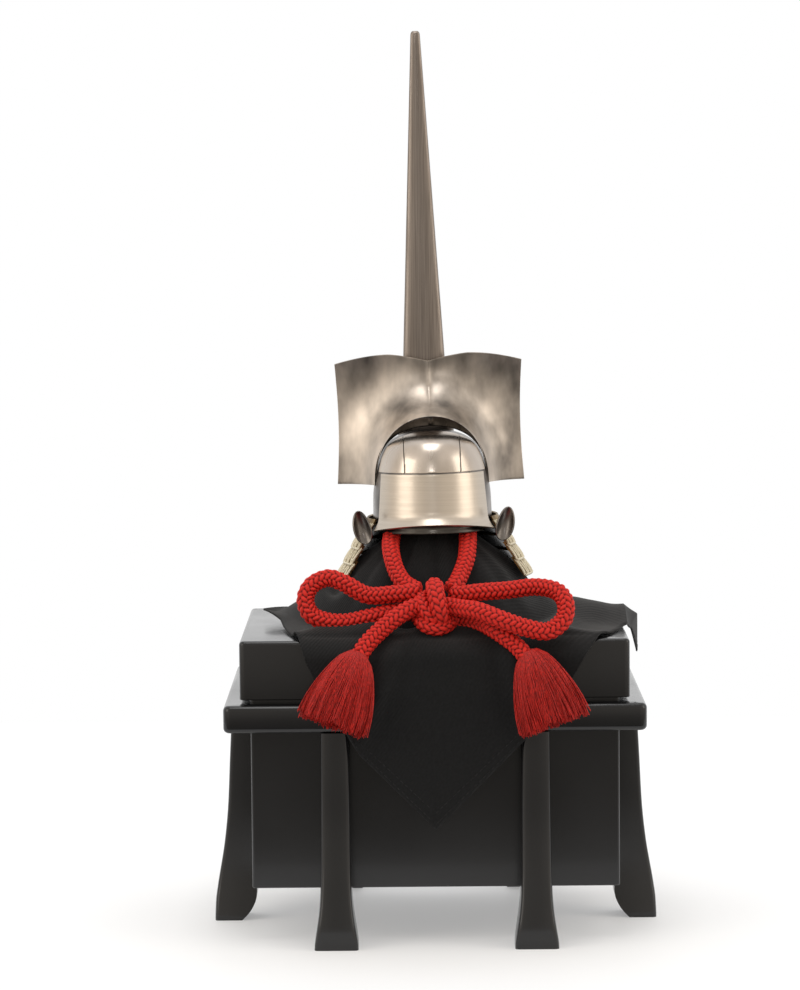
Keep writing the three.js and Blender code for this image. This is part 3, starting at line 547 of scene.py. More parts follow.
# fitted to the photograph: place in metres, angles in radians, lens and sensor in mm
cameraSizes = {
    "place": (-0.0124, -2.486, 0.4734), "pitch": 0.0815, "yaw": 0.0033, "roll": -0.0087,
    "lens": 142.7, "sensor": 36, "farthest": 50,
}


def makeCamera():
    data = bpy.data.cameras.new("camera")
    data.lens = cameraSizes["lens"]
    data.sensor_width = cameraSizes["sensor"]
    data.clip_end = cameraSizes["farthest"]
    camera = bpy.data.objects.new("camera", data)
    bpy.context.scene.collection.objects.link(camera)
    turn = (Matrix.Rotation(cameraSizes["yaw"], 4, "Z")
            @ Matrix.Rotation(math.pi / 2 - cameraSizes["pitch"], 4, "X")
            @ Matrix.Rotation(cameraSizes["roll"], 4, "Z"))
    camera.matrix_world = Matrix.Translation(cameraSizes["place"]) @ turn
    bpy.context.scene.camera = camera


makeStage()
makeWorld()
makeCamera()
bpy.context.scene.view_settings.view_transform = "Standard"
for name, values in softboxes.items():
    makeSoftbox(name, *values)
print("stage, light and camera set")


# chest, all sizes in mm

chest = {
    "lidWidth": 240, "lidDepth": 188, "lidHeight": 36.3, "lidTop": 188.5, "lidWall": 9, "lidRoof": 6,
    "lidRound": 2.4, "lidCorner": 3.2, "lidEase": 0.5, "hollowCorner": 1.5,
    "ledgeReach": 9.9, "ledgeHeight": 17, "ledgeRound": 3.2, "ledgeCorner": 4.4, "recessHeight": 2.4,
    "bodyInset": 6.4, "bodyWall": 6, "bodyFloor": 6, "bodyBottom": 34.2, "bodyCorner": 1.6, "bodyEase": 0.7,
    "legSpacing": 123, "legTopWidth": 17.6, "legFootWidth": 27, "legTopThickness": 15.4, "legFootReach": 27.1,
    "legFootLength": 14, "legHeel": 1.5, "legChamfer": 2.6, "legRings": 34,
}
lidBottom = chest["lidTop"] - chest["lidHeight"]
ledgeTop = lidBottom - chest["recessHeight"]
ledgeBottom = ledgeTop - chest["ledgeHeight"]
bodyHalfWidth = chest["lidWidth"] / 2 - chest["bodyInset"]
bodyHalfDepth = chest["lidDepth"] / 2 - chest["bodyInset"]
bodyFootCorner = chest["bodyCorner"] - chest["bodyEase"]


def roundedRect(halfWidth, halfDepth, radius, z, steps=6):
    ring = []
    for sx, sy, start in ((1, 1, 0), (-1, 1, 90), (-1, -1, 180), (1, -1, 270)):
        for k in range(steps + 1):
            turn = math.radians(start + 90 * k / steps)
            ring.append((sx * (halfWidth - radius) + radius * math.cos(turn),
                         sy * (halfDepth - radius) + radius * math.sin(turn), z))
    return ring


def ringsSolid(name, rings, closeAll=False):
    # a closed solid through rings of points: capped at both ends, or closed on itself
    count = len(rings[0])
    points = [p for ring in rings for p in ring]
    faces = gridFaces(len(rings), count, closeRows=closeAll, closeColumns=True)
    if not closeAll:
        faces.append(tuple(range(count)))
        faces.append(tuple(range((len(rings) - 1) * count, len(rings) * count)))
    return meshFrom(name, np.array(points) * mm, faces)


def edgeRows(halfWidth, halfDepth, z, edgeRound, side, corner, steps=6):
    # rows of a rounded edge, from the flat face to the upright one; side is -1 where the edge goes down
    rows = []
    for k in range(steps + 1):
        turn = math.radians(90 * k / steps)
        inset = edgeRound * (1 - math.sin(turn))
        rise = edgeRound * (1 - math.cos(turn))
        rows.append(roundedRect(halfWidth - inset, halfDepth - inset, corner - inset, z + side * rise))
    return rows


def sharpNormals(piece, degrees=32):
    piece.data.shade_smooth()
    piece.data.set_sharp_from_angle(angle=math.radians(degrees))


def lacquered(name, rows, closeAll=False):
    piece = linkPiece(name, ringsSolid(name, rows, closeAll), lacquer)
    sharpNormals(piece)
    return piece


def makeLid():
    w, d, corner = chest["lidWidth"] / 2, chest["lidDepth"] / 2, chest["lidCorner"]
    ease = chest["lidEase"]
    rows = edgeRows(w, d, chest["lidTop"], chest["lidRound"], -1, corner)
    rows += [roundedRect(w, d, corner, lidBottom + ease), roundedRect(w - ease, d - ease, corner - ease, lidBottom)]
    for z in (lidBottom, chest["lidTop"] - chest["lidRoof"]):
        rows.append(roundedRect(w - chest["lidWall"], d - chest["lidWall"], chest["hollowCorner"], z))
    return lacquered("lid", rows)


def makeLedge():
    w, d = chest["lidWidth"] / 2 + chest["ledgeReach"], chest["lidDepth"] / 2 + chest["ledgeReach"]
    edgeRound, corner = chest["ledgeRound"], chest["ledgeCorner"]
    rows = edgeRows(w, d, ledgeTop, edgeRound, -1, corner)
    rows += edgeRows(w, d, ledgeBottom, edgeRound, 1, corner)[::-1]
    for z in (ledgeBottom, ledgeTop):
        rows.append(roundedRect(bodyHalfWidth + clearance, bodyHalfDepth + clearance, chest["bodyCorner"], z))
    return lacquered("ledge", rows, closeAll=True)


def makeBody():
    w, d, corner = bodyHalfWidth, bodyHalfDepth, chest["bodyCorner"]
    bottom, top, ease, wall = chest["bodyBottom"], lidBottom - clearance, chest["bodyEase"], chest["bodyWall"]
    return lacquered("body", [
        roundedRect(w - ease, d - ease, bodyFootCorner, bottom), roundedRect(w, d, corner, bottom + ease),
        roundedRect(w, d, corner, top), roundedRect(w - wall, d - wall, corner, top),
        roundedRect(w - wall, d - wall, corner, bottom + chest["bodyFloor"]),
    ])


# leg: share of its height, of its reach outwards, of its undercut, of its spread to the foot
legRows = [
    (0, 1, 0.83, 1), (0.025, 1, 0.54, 0.97), (0.06, 0.985, 0.25, 0.83), (0.11, 0.95, 0.03, 0.6),
    (0.16, 0.87, 0, 0.4), (0.21, 0.78, 0, 0.26), (0.26, 0.68, 0, 0.18), (0.38, 0.46, 0, 0.1),
    (0.55, 0.26, 0, 0.06), (0.8, 0.12, 0, 0.02), (1, 0, 0, 0),
]


def makeLeg(name, x, y, degrees):
    rows = np.vstack([legRows[:1], smoothRows(legRows[1:], chest["legRings"])])
    chamfer, reachTop = chest["legChamfer"], chest["legTopThickness"]
    heel = chest["legFootReach"] - chest["legFootLength"] - chest["legHeel"]
    rings = []
    for rise, reach, undercut, spread in rows:
        z = rise * (ledgeBottom - clearance)
        outer = reachTop + reach * (chest["legFootReach"] - reachTop)
        inner = max(0.0, undercut) * heel + clearance
        half = (chest["legTopWidth"] + spread * (chest["legFootWidth"] - chest["legTopWidth"])) / 2
        ring = [(half, inner, z)]
        for turn in np.radians((0, 22.5, 45, 67.5, 90)):
            ring.append((half - chamfer + chamfer * math.cos(turn), outer - chamfer + chamfer * math.sin(turn), z))
        rings.append(ring + [(-px, py, z) for px, py, z in reversed(ring)])
    leg = linkPiece(name, ringsSolid(name, rings), lacquer)
    leg.data.transform(Matrix.Translation((x * mm, y * mm, 0)) @ Matrix.Rotation(math.radians(degrees), 4, "Z"))
    sharpNormals(leg, 30)
    return leg


chestPieces = [(makeLid(), "chest_lid"), (makeLedge(), "chest_ledge"), (makeBody(), "chest_body")]
half = chest["legSpacing"] / 2
for label, node, x, y, degrees in (
    ("front_left_leg", "leg_front_left", -half, -bodyHalfDepth, 180),
    ("front_right_leg", "leg_front_right", half, -bodyHalfDepth, 180),
    ("back_left_leg", "leg_back_left", -half, bodyHalfDepth, 0),
    ("back_right_leg", "leg_back_right", half, bodyHalfDepth, 0),
    ("left_side_leg", "leg_side_left", -bodyHalfWidth, 0, 90),
    ("right_side_leg", "leg_side_right", bodyHalfWidth, 0, -90),
):
    chestPieces.append((makeLeg(label, x, y, degrees), node))
for piece, node in chestPieces:
    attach(piece, "root")
    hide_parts(node)
nodes["helmet_post"].data.materials.clear()
nodes["helmet_post"].data.materials.append(wood)
print("chest and legs made")


# helmet

# the helmet leans and turns a little on its post, in degrees; its pieces are made upright and then placed
helmet = {"lean": -1.1, "turn": 1.2, "rim": 256}
toRim = Matrix.Translation((0, 0, helmet["rim"] * mm))
worn = (toRim @ Matrix.Rotation(math.radians(helmet["lean"]), 4, "Y")
        @ Matrix.Rotation(math.radians(helmet["turn"]), 4, "Z") @ Matrix.Translation((0, 0, -helmet["rim"] * mm)))
bowl = {
    "halfWidth": 38.8, "frontDepth": 41.5, "backDepth": 44, "height": 57, "wall": 1.6, "rings": 90, "columns": 144,
}
domePlate = {"wall": 0.8, "seam": 17.7, "bottom": 287, "back": -13.6, "seamGap": 0.5, "rimRound": 0.22}
# the bowl from its rim to its crown: share of its height, share of its half width
bowlRows = [
    (0, 1), (0.31, 0.985), (0.5, 0.94), (0.62, 0.905), (0.72, 0.86), (0.83, 0.775), (0.91, 0.63), (0.97, 0.42),
    (0.995, 0.2), (1, 0),
]
bowlLine = smoothRows(bowlRows, bowl["rings"])


def bowlMesh(name, lift):
    # the bowl's skin, from its rim to its crown; lift moves it outwards
    columns = bowl["columns"]
    turn = np.radians(np.arange(columns) * 360 / columns)
    points = []
    for share, scale in bowlLine[:-1]:
        scale = max(scale, 0.0)
        depth = np.where(np.cos(turn) > 0, bowl["frontDepth"], bowl["backDepth"])
        outward = lift * min(1.0, scale * 1.2)
        upward = lift * max(0.0, share - 0.35) * 1.5
        points.append(np.stack([(bowl["halfWidth"] * scale + outward) * np.sin(turn),
                                -(depth * scale + outward) * np.cos(turn),
                                np.full(columns, helmet["rim"] + share * bowl["height"] + upward)], axis=1))
    rows = len(points)
    points = np.vstack(points + [np.array([[0, 0, helmet["rim"] + bowl["height"] + lift * 0.97]])])
    faces = gridFaces(rows, columns, closeColumns=True)
    base = (rows - 1) * columns
    faces += [(base + c, base + (c + 1) % columns, rows * columns) for c in range(columns)]
    return meshFrom(name, points * mm, faces)


def cutPlane(mesh, point, normal):
    # takes away what lies on the normal's side
    work = bmesh.new()
    work.from_mesh(mesh)
    everything = work.verts[:] + work.edges[:] + work.faces[:]
    bmesh.ops.bisect_plane(work, geom=everything, plane_co=Vector(point) * mm, plane_no=normal, clear_outer=True)
    work.to_mesh(mesh)
    work.free()


def plateWall(piece, thickness, rimRound=0.0):
    addSolidify(piece, thickness * mm)
    if rimRound:
        addBevel(piece, rimRound * mm, 2, 50).harden_normals = False
    finishMesh(piece)
    sharpNormals(piece, 40)


def makeBowl():
    pieces = []
    shell = linkPiece("bowl", bowlMesh("bowl", -(domePlate["wall"] + clearance)), darkMetal)
    plateWall(shell, bowl["wall"])
    pieces.append((shell, ["bowl_shell"], "silver"))
    inner, outer = (domePlate["seam"] + way * domePlate["seamGap"] / 2 for way in (-1, 1))
    for name, node, cuts in (
        ("dome centre plate", "top_plate", ((inner, 1), (-inner, -1))),
        ("dome left plate", "side_plate_left", ((-outer, 1),)),
        ("dome right plate", "side_plate_right", ((outer, -1),)),
    ):
        mesh = bowlMesh(name, 0)
        for x, side in cuts:
            cutPlane(mesh, (x, 0, 0), (side, 0, 0))
        cutPlane(mesh, (0, domePlate["back"], 0), (0, 1, 0))
        cutPlane(mesh, (0, 0, domePlate["bottom"]), (0, 0, -1))
        plate = linkPiece(name, mesh, polished)
        plateWall(plate, domePlate["wall"], domePlate["rimRound"])
        pieces.append((plate, [node], "silver"))
    return pieces


brow = {
    "height": 31.2, "halfAngle": 59, "flare": 3.8, "sideDrop": 4.6, "taper": 0.08, "wall": 1.2, "below": 1,
    "rimRound": 0.35, "across": 121, "upward": 45, "stand": 0.6, "flareRise": 4.2,
}
lip = {
    "height": 6.8, "halfAngle": 56, "wall": 1.2, "bead": 0.35, "inset": 1.4, "rimRound": 0.3, "across": 97,
    "upward": 7,
}


def visorPlate(name, grid, x, y, z, finish, centre, sizes):
    points = np.stack([x, y, z], axis=2).reshape(-1, 3)
    plate = linkPiece(name, meshFrom(name, points * mm, gridFaces(*grid), False), finish)
    faceAway(plate.data, centre)
    plateWall(plate, sizes["wall"], sizes["rimRound"])
    return plate


def makeBrow():
    grid = brow["across"], brow["upward"]
    u, v = np.meshgrid(np.linspace(0, 1, grid[0]), np.linspace(0, 1, grid[1]) ** 1.5, indexing="ij")
    side = 2 * u - 1
    turn = np.radians(side * brow["halfAngle"])
    bottom = helmet["rim"] - brow["below"] - brow["sideDrop"] * side ** 2
    top = helmet["rim"] - brow["below"] + brow["height"]
    z = bottom + v * (top - bottom)
    flare = brow["flare"] * np.maximum(0, 1 - brow["flareRise"] * v) ** 2
    scale = 1 - brow["taper"] * v
    out = clearance + flare + brow["stand"] + brow["wall"]
    x = (bowl["halfWidth"] * scale + out) * np.sin(turn)
    y = -(bowl["frontDepth"] * scale + out) * np.cos(turn)
    plate = visorPlate("brow plate", grid, x, y, z, browMetal, (0, 0.02, 0.27), brow)

    grid = lip["across"], lip["upward"]
    u, v = np.meshgrid(np.linspace(0, 1, grid[0]), np.linspace(0, 1, grid[1]), indexing="ij")
    turn = np.radians((2 * u - 1) * lip["halfAngle"])
    z = helmet["rim"] - clearance - lip["height"] * (1 - v)
    out = lip["wall"] + lip["bead"] * np.cos(2 * np.pi * v)
    x = (bowl["halfWidth"] - lip["inset"] + out) * np.sin(turn)
    y = -(bowl["frontDepth"] - lip["inset"] + out) * np.cos(turn)
    # the visor lip is a dark piece, drawn in silver darkened further as painted shade
    edge = visorPlate("visor lip", grid, x, y, z, paintedShadeSilver, (0, 0.02, 0.255), lip)
    return [(plate, ["brow_plate"], "silver"), (edge, ["visor_lip"], "dark_metal")]


def faceAway(mesh, centre):
    # turns an open sheet so that it faces away from a point
    mesh.update()
    face = mesh.polygons[len(mesh.polygons) // 2]
    if face.normal.dot(face.center - Vector(centre)) < 0:
        mesh.flip_normals()
        mesh.update()


crest = {
    "wall": 1.0, "halfWidth": 59.6, "bottom": 277.8, "top": 359.6, "notch": 4.6, "cornerDrop": 5.4, "waist": 1.6,
    "archHalfWidth": 35.2, "archTop": 321.6, "archPower": 0.86, "sideEnd": 0.42, "hump": 0.43,
    "lipForward": 21, "lipDepth": 6.4, "lipReturn": 5, "lipRidge": 1.1, "ridgeWidth": 1.2, "lipShare": 0.12,
    "back": 17, "topRoll": 7, "rollFrom": 0.55, "coveBend": 3.1, "creaseDepth": 1.5, "creaseWidth": 2.2,
    "dent": 0.3, "rimRound": 0.3, "across": 201, "outward": 49, "lipRows": 12,
}


def crestEdge(u):
    # the plate's outline, from its lower left corner over the top to its lower right one
    c = crest
    side = -1 if u < 0.5 else 1
    way = abs(2 * u - 1)
    cornerHeight = c["top"] - c["cornerDrop"]
    if way > 1 - c["sideEnd"]:
        rise = (1 - way) / c["sideEnd"]
        x = c["halfWidth"] - c["waist"] * math.sin(math.pi * rise)
        return side * x, c["bottom"] + rise * (cornerHeight - c["bottom"])
    share = way / (1 - c["sideEnd"])
    if share < c["hump"]:
        drop = c["notch"] * (1 - share / c["hump"]) ** 1.4
    else:
        drop = c["cornerDrop"] * ((share - c["hump"]) / (1 - c["hump"])) ** 1.8
    return side * c["halfWidth"] * share, c["top"] - drop


def crestDepth(x, z):
    # how far back the plate stands: hollowed round the arch, rolled forward at its top, creased down the middle
    c = crest
    wide = (x / c["archHalfWidth"]) ** 2
    high = (max(0.0, z - c["bottom"]) / (c["archTop"] - c["bottom"])) ** (2 / c["archPower"])
    away = max(0.0, math.sqrt(wide + high) - 1)
    forward = c["lipForward"] * (0.35 + 0.65 * high / max(wide + high, 1e-6))
    level = (z - c["bottom"]) / (c["top"] - c["bottom"])
    roll = c["topRoll"] * (max(0.0, level - c["rollFrom"]) / (1 - c["rollFrom"])) ** 2
    crease = c["creaseDepth"] * math.exp(-abs(x) / c["creaseWidth"]) * min(1.0, 6 * away)
    waves = math.sin(0.11 * x + 1.3) * math.sin(0.13 * z + 0.4) + 0.7 * math.sin(0.19 * x - 0.16 * z)
    cove = (c["back"] + forward) * math.exp(-c["coveBend"] * away)
    return c["back"] - cove - roll + crease + c["dent"] * waves * min(1.0, 4 * away)


def crestPoint(u, v):
    # u runs along the outline, v from the arch's turned lip to the outline
    c = crest
    outX, outZ = crestEdge(u)
    turn = math.pi * (1 - u)
    sine = max(0.0, math.sin(turn))
    archX = c["archHalfWidth"] * math.cos(turn)
    archZ = c["bottom"] + (c["archTop"] - c["bottom"]) * sine ** c["archPower"]
    if v < c["lipShare"]:
        down = 1 - v / c["lipShare"]
        edge = crestDepth(archX, archZ)
        ridge = c["lipRidge"] * math.exp(-(archX / c["ridgeWidth"]) ** 2) * math.sin(math.pi * down)
        y = edge + c["lipReturn"] * down ** 1.3 * sine ** 2 - ridge
        return archX, y, archZ - c["lipDepth"] * sine ** 2 * down
    share = (v - c["lipShare"]) / (1 - c["lipShare"])
    x, z = archX + share * (outX - archX), archZ + share * (outZ - archZ)
    return x, crestDepth(x, z), z


def makeCrest():
    lipSteps = np.linspace(0, crest["lipShare"], crest["lipRows"] + 1)
    outward = np.concatenate([lipSteps[:-1], np.linspace(crest["lipShare"], 1, crest["outward"])])
    points = [crestPoint(u, v) for u in np.linspace(0, 1, crest["across"]) for v in outward]
    faces = gridFaces(crest["across"], len(outward))
    mesh = meshFrom("crest plate", np.array(points) * mm, faces, False)
    plate = linkPiece("crest plate", mesh, crestMetal)
    sides = [f for f in mesh.polygons if abs(f.center.x) > 0.045]
    if sum(f.normal.y for f in sides) > 0:
        mesh.flip_normals()
        mesh.update()
    # the lip's faces get silver darkened as painted shade, the rest of the plate the crest silver
    mesh.materials.append(paintedShadeSilver)  # for the lip's faces
    perStrip = len(outward) - 1
    mesh.polygons.foreach_set("material_index", [int(f % perStrip < crest["lipRows"]) for f in range(len(faces))])
    addSolidify(plate, crest["wall"] * mm).use_even_offset = False
    addBevel(plate, crest["rimRound"] * mm, 2, 55).harden_normals = False
    finishMesh(plate)
    sharpNormals(plate, 50)
    return [(plate, ["crest_plate"], "silver")]


spike = {
    "bottom": 313, "top": 564.3, "halfWidth": 15.5, "tipHalfWidth": 2.9, "thickness": 9, "tipThickness": 3.4,
    "x": -2.2, "y": 23, "socketHeight": 15, "socketWall": 2.2, "socketBottom": 300, "socketFloor": 302,
    "socketEase": 0.8, "tipRound": 2.6, "tipInset": 1.6,
}


def spikeRing(z, extra, sides=40, shape=2.4):
    # a rounded rectangle that gets smaller with its height; extra makes it larger all round
    share = (z - spike["bottom"]) / (spike["top"] - spike["bottom"])
    half = spike["halfWidth"] + share * (spike["tipHalfWidth"] - spike["halfWidth"]) + extra
    thick = (spike["thickness"] + share * (spike["tipThickness"] - spike["thickness"])) / 2 + extra
    ring = []
    for k in range(sides):
        turn = 2 * math.pi * k / sides
        c, s = math.cos(turn), math.sin(turn)
        ring.append((spike["x"] + half * math.copysign(abs(c) ** (2 / shape), c),
                     spike["y"] + thick * math.copysign(abs(s) ** (2 / shape), s), z))
    return ring


def makeSpike():
    tip = spike["top"] - spike["tipRound"]
    rings = [spikeRing(z, 0) for z in np.linspace(spike["bottom"], tip, 40)]
    for turn in np.radians(np.arange(15, 91, 15)):
        rings.append(spikeRing(tip + spike["tipRound"] * math.sin(turn), -spike["tipInset"] * (1 - math.cos(turn))))
    blade = linkPiece("spike", ringsSolid("spike", rings), spikeMetal)
    sharpNormals(blade, 50)
    high = spike["bottom"] + spike["socketHeight"]
    wall, ease = spike["socketWall"], spike["socketEase"]
    rings = [spikeRing(z, extra) for z, extra in (
        (spike["socketBottom"], wall), (high - ease, wall), (high, wall - ease), (high, clearance),
        (spike["socketFloor"], clearance),
    )]
    holder = linkPiece("spike socket", ringsSolid("spike socket", rings), darkMetal)
    sharpNormals(holder, 40)
    return [(blade, ["rear_spike"], "spike_metal"), (holder, ["spike_socket"], "dark_metal")]


guard = {
    "lames": 4, "wall": 1.1, "above": 1.5, "bottom": 219.5, "topHalfWidth": 40.4, "bottomHalfWidth": 61.4,
    "overlap": 2.6, "openAngle": 66, "topOpenAngle": 62, "across": 161, "upward": 7,
    "laces": 62, "laceRadius": 0.75, "laceLean": 0.0045, "laceFrom": 0.16, "topLaceFrom": 0.3, "laceTo": 0.93,
    "laceArch": 0.8, "hemLace": 0.96,
}


def lamePoint(k, u, v, lift):
    # lame k is counted from the top, u runs round it from one end to the other, v down it
    rise = (helmet["rim"] + guard["above"] - guard["bottom"]) / guard["lames"]
    widen = (guard["bottomHalfWidth"] - guard["topHalfWidth"]) / guard["lames"]
    tuck = widen * guard["overlap"] / rise + 1.6 * guard["wall"] + clearance
    start = guard["openAngle"] if k else guard["topOpenAngle"]
    top = helmet["rim"] + guard["above"] - k * rise
    turn = np.radians(start + u * (360 - 2 * start))
    z = top + (guard["overlap"] if k else 0) * (1 - v) - v * rise
    halfSpan = guard["topHalfWidth"] + (k + v) * widen - (1 - v) * (tuck if k else 0) + lift
    depth = halfSpan + bowl["backDepth"] - bowl["halfWidth"]
    reach = np.where(np.cos(turn) > 0, halfSpan, depth)
    return np.stack([halfSpan * np.sin(turn), -reach * np.cos(turn), z + 0 * turn], axis=-1)


def makeLame(k):
    grid = guard["across"], guard["upward"]
    u, v = np.meshgrid(np.linspace(0, 1, grid[0]), np.linspace(0, 1, grid[1]), indexing="ij")
    points = lamePoint(k, u, v, guard["wall"]).reshape(-1, 3)
    name = f"neck lame {k + 1}"
    lame = linkPiece(name, meshFrom(name, points * mm, gridFaces(*grid), False), goldMetal)
    faceAway(lame.data, (0, 0, 0.24))
    lame.data.materials.append(lacquer)  # for the inside
    addSolidify(lame, guard["wall"] * mm).material_offset = 1
    finishMesh(lame)
    sharpNormals(lame, 40)
    return lame


def makeLacing(k):
    # threads up and down one lame, every second one leaning the other way, and one along its hem
    low, high = guard["laceFrom"] if k else guard["topLaceFrom"], guard["laceTo"]
    run = np.linspace(low, high, 7)
    bulge = guard["wall"] + 0.15 + guard["laceArch"] * np.sin(np.pi * (run - low) / (high - low)) ** 0.5
    lines = []
    for n in range(guard["laces"] + 1):
        lean = guard["laceLean"] * (1 if n % 2 else -1)
        u = np.clip(n / guard["laces"] + lean * (run - 0.5) * 2, 0, 1)
        lines.append(lamePoint(k, u, run, bulge) * mm)
    across = guard["across"]
    hemLift = np.full(across, guard["wall"] + 0.2)
    lines.append(lamePoint(k, np.linspace(0, 1, across), np.full(across, guard["hemLace"]), hemLift) * mm)
    return threadPiece(f"lacing {k + 1}", lines, guard["laceRadius"] * mm, 6, ivory)


def makeGuard():
    pieces = []
    for k in range(guard["lames"]):
        pieces += [(makeLame(k), [f"neck_lame_{k + 1}"], "lame_gold"), (makeLacing(k), [], None)]
    return pieces


flap = {
    "halfWidth": 5.1, "halfHeight": 10.4, "wall": 1.1, "x": 45.2, "y": -22.4, "z": 252.8, "slant": 0.2,
    "cup": 2.4, "curl": 0.045, "taper": 0.18, "rimRound": 0.35, "rings": 22, "columns": 64,
}
rivet = {"radius": 1.7, "height": 1.2, "dome": 0.7, "angle": 67, "stand": 3.4, "drop": 3.4, "sides": 24}


def makeFlap(name, side):
    # a cupped leaf, narrower towards its top
    rings, columns = flap["rings"], flap["columns"]
    points = []
    for v in np.arange(1, rings + 1) / rings:
        for turn in 2 * np.pi * np.arange(columns) / columns:
            across = flap["halfWidth"] * v * math.sin(turn) * (1 - flap["taper"] * math.cos(turn) * v)
            up = flap["halfHeight"] * v * math.cos(turn)
            curl = flap["cup"] * v * v + flap["curl"] * across * across
            points.append((side * (flap["x"] + across + flap["slant"] * up), flap["y"] - curl, flap["z"] + up))
    points.append((side * flap["x"], flap["y"], flap["z"]))
    faces = gridFaces(rings, columns, closeColumns=True)
    faces += [((c + 1) % columns, c, rings * columns) for c in range(columns)]
    leaf = linkPiece(f"{name} flap", meshFrom(f"{name} flap", np.array(points) * mm, faces), darkMetal)
    faceAway(leaf.data, (0, 0.2, 0.25))
    plateWall(leaf, flap["wall"], flap["rimRound"])
    return leaf


def ovalRing(halfX, halfY, z, sides):
    turns = [2 * math.pi * c / sides for c in range(sides)]
    return [(halfX * math.cos(turn), halfY * math.sin(turn), z) for turn in turns]


def makeRivet(name, side):
    # a low dome, its flat back towards the neck guard
    half = rivet["height"] / 2
    rings = [ovalRing(0.01, 0.01, half, rivet["sides"])]
    for turn in np.radians(np.arange(15, 91, 15)):
        radius = rivet["radius"] * math.sin(turn)
        rings.append(ovalRing(radius, radius, half - rivet["dome"] * (1 - math.cos(turn)), rivet["sides"]))
    rings.append([(x, y, -half) for x, y, z in rings[-1]])
    pin = linkPiece(f"{name} rivet", ringsSolid(f"{name} rivet", rings), rivetMetal)
    turn = math.radians(rivet["angle"])
    out = guard["topHalfWidth"] + guard["wall"] + rivet["stand"] + clearance + half
    place = Vector((side * out * math.sin(turn), -out * math.cos(turn), helmet["rim"] - rivet["drop"])) * mm
    pin.data.transform(Matrix.Translation(place) @ Matrix.Rotation(side * turn, 4, "Z")
                       @ Matrix.Rotation(math.pi / 2, 4, "X"))
    sharpNormals(pin, 40)
    return pin


def makeFlaps():
    pieces = []
    for name, side in (("left", -1), ("right", 1)):
        pieces += [(makeFlap(name, side), [f"side_flap_{name}"], "dark_metal"),
                   (makeRivet(name, side), [f"flap_rivet_{name}"], "silver")]
    return pieces


for piece, stands, finishSlot in makeBowl() + makeBrow() + makeCrest() + makeSpike() + makeGuard() + makeFlaps():
    piece.data.transform(worn)
    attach(piece, "root")
    if stands:
        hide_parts(*stands)
print("helmet made")


# cloth over the post and the chest

cloth = {
    "wall": 0.9, "sideSpread": 81, "frontSpread": 71, "backSpread": 80, "frontReach": 212, "leftReach": 109,
    "rightReach": 149, "backReach": 150, "columns": 300, "tentCount": 58, "lidCount": 18, "fallCount": 34,
    "lift": 0.9, "ledgeClearance": 1.6, "cornerHang": 8.5, "cornerLift": 6, "rightLift": 9,
    # where the cloth stands off the lid at both sides: radius, width and height of the rise
    "skirtRight": (85, 19, 11.5), "skirtLeft": (77, 16, 17), "skirtFree": 11,
    "frontRound": 18, "frontLift": 6.5,
}
# the tent over the post: share of its height, share of its spread
tentRows = [
    (1, 0), (0.998, 0.07), (0.983, 0.14), (0.947, 0.175), (0.8, 0.185), (0.612, 0.2), (0.545, 0.23),
    (0.503, 0.26), (0.4615, 0.33), (0.411, 0.43), (0.353, 0.545), (0.278, 0.67), (0.202, 0.755),
    (0.127, 0.84), (0.06, 0.92), (0.018, 0.97), (0, 1),
]
# the hem's corners: shares of the reach to the right or left, and to the front or back
hemRows = [
    (0, 1), (0.36, 0.747), (0.56, 0.57), (0.674, 0.443), (0.737, 0.335), (0.785, 0.225), (0.825, 0.15),
    (1, -0.03), (0, -1), (-1, -0.12), (-0.89, 0.085), (-0.835, 0.27), (-0.765, 0.443), (-0.72, 0.52), (-0.6, 0.64),
    (-0.42, 0.783),
]
# folds that run down the tent: degrees to the right of its front, depth, width in degrees
foldRows = [
    (-34, 0.03, 13), (0, -0.05, 7), (11, 0.03, 8), (38, 0.03, 14), (66, -0.03, 12), (110, 0.02, 16),
    (145, -0.04, 16), (180, 0.03, 18), (215, -0.04, 16), (255, 0.02, 14), (294, -0.03, 12),
]
# finer pleats of the visual cloth alone
pleatRows = [
    (-62, 0.02, 5), (-50, -0.022, 4), (-24, -0.05, 4), (-16, 0.04, 4), (-7, 0.03, 4), (5, -0.065, 4),
    (12, 0.03, 3), (19, 0.02, 4), (27, -0.026, 5), (47, -0.02, 5), (56, 0.02, 5), (80, 0.018, 6),
    (92, -0.018, 6), (125, 0.02, 6), (136, -0.02, 6), (165, -0.02, 7), (195, 0.02, 7), (232, -0.02, 7), (246, 0.02, 6),
    (272, 0.02, 6), (283, -0.02, 5),
]
# soft folds of the hanging front: x at the lid's edge, lean, depth, width, all in mm
hangRows = [
    (-20, -0.42, 6.5, 6), (-31, -0.42, -3.2, 5), (14, 0.12, 2.4, 11), (44, 0.3, 5.0, 8), (33, 0.25, -2.4, 6),
    (-4, 0.0, -1.6, 8),
]
clothWallInPart = 1.2
postTop = (helmet["rim"] + bowl["height"] - domePlate["wall"] - bowl["wall"] - clothWallInPart
           - 3.6 * clearance)


def foldAt(rows, turn):
    degrees = np.degrees(turn)
    total = np.zeros_like(degrees)
    for centre, depth, width in rows:
        away = ((degrees - centre) % 360 + 540) % 360 - 180
        total += depth * np.exp(-(away / width) ** 2)
    return total


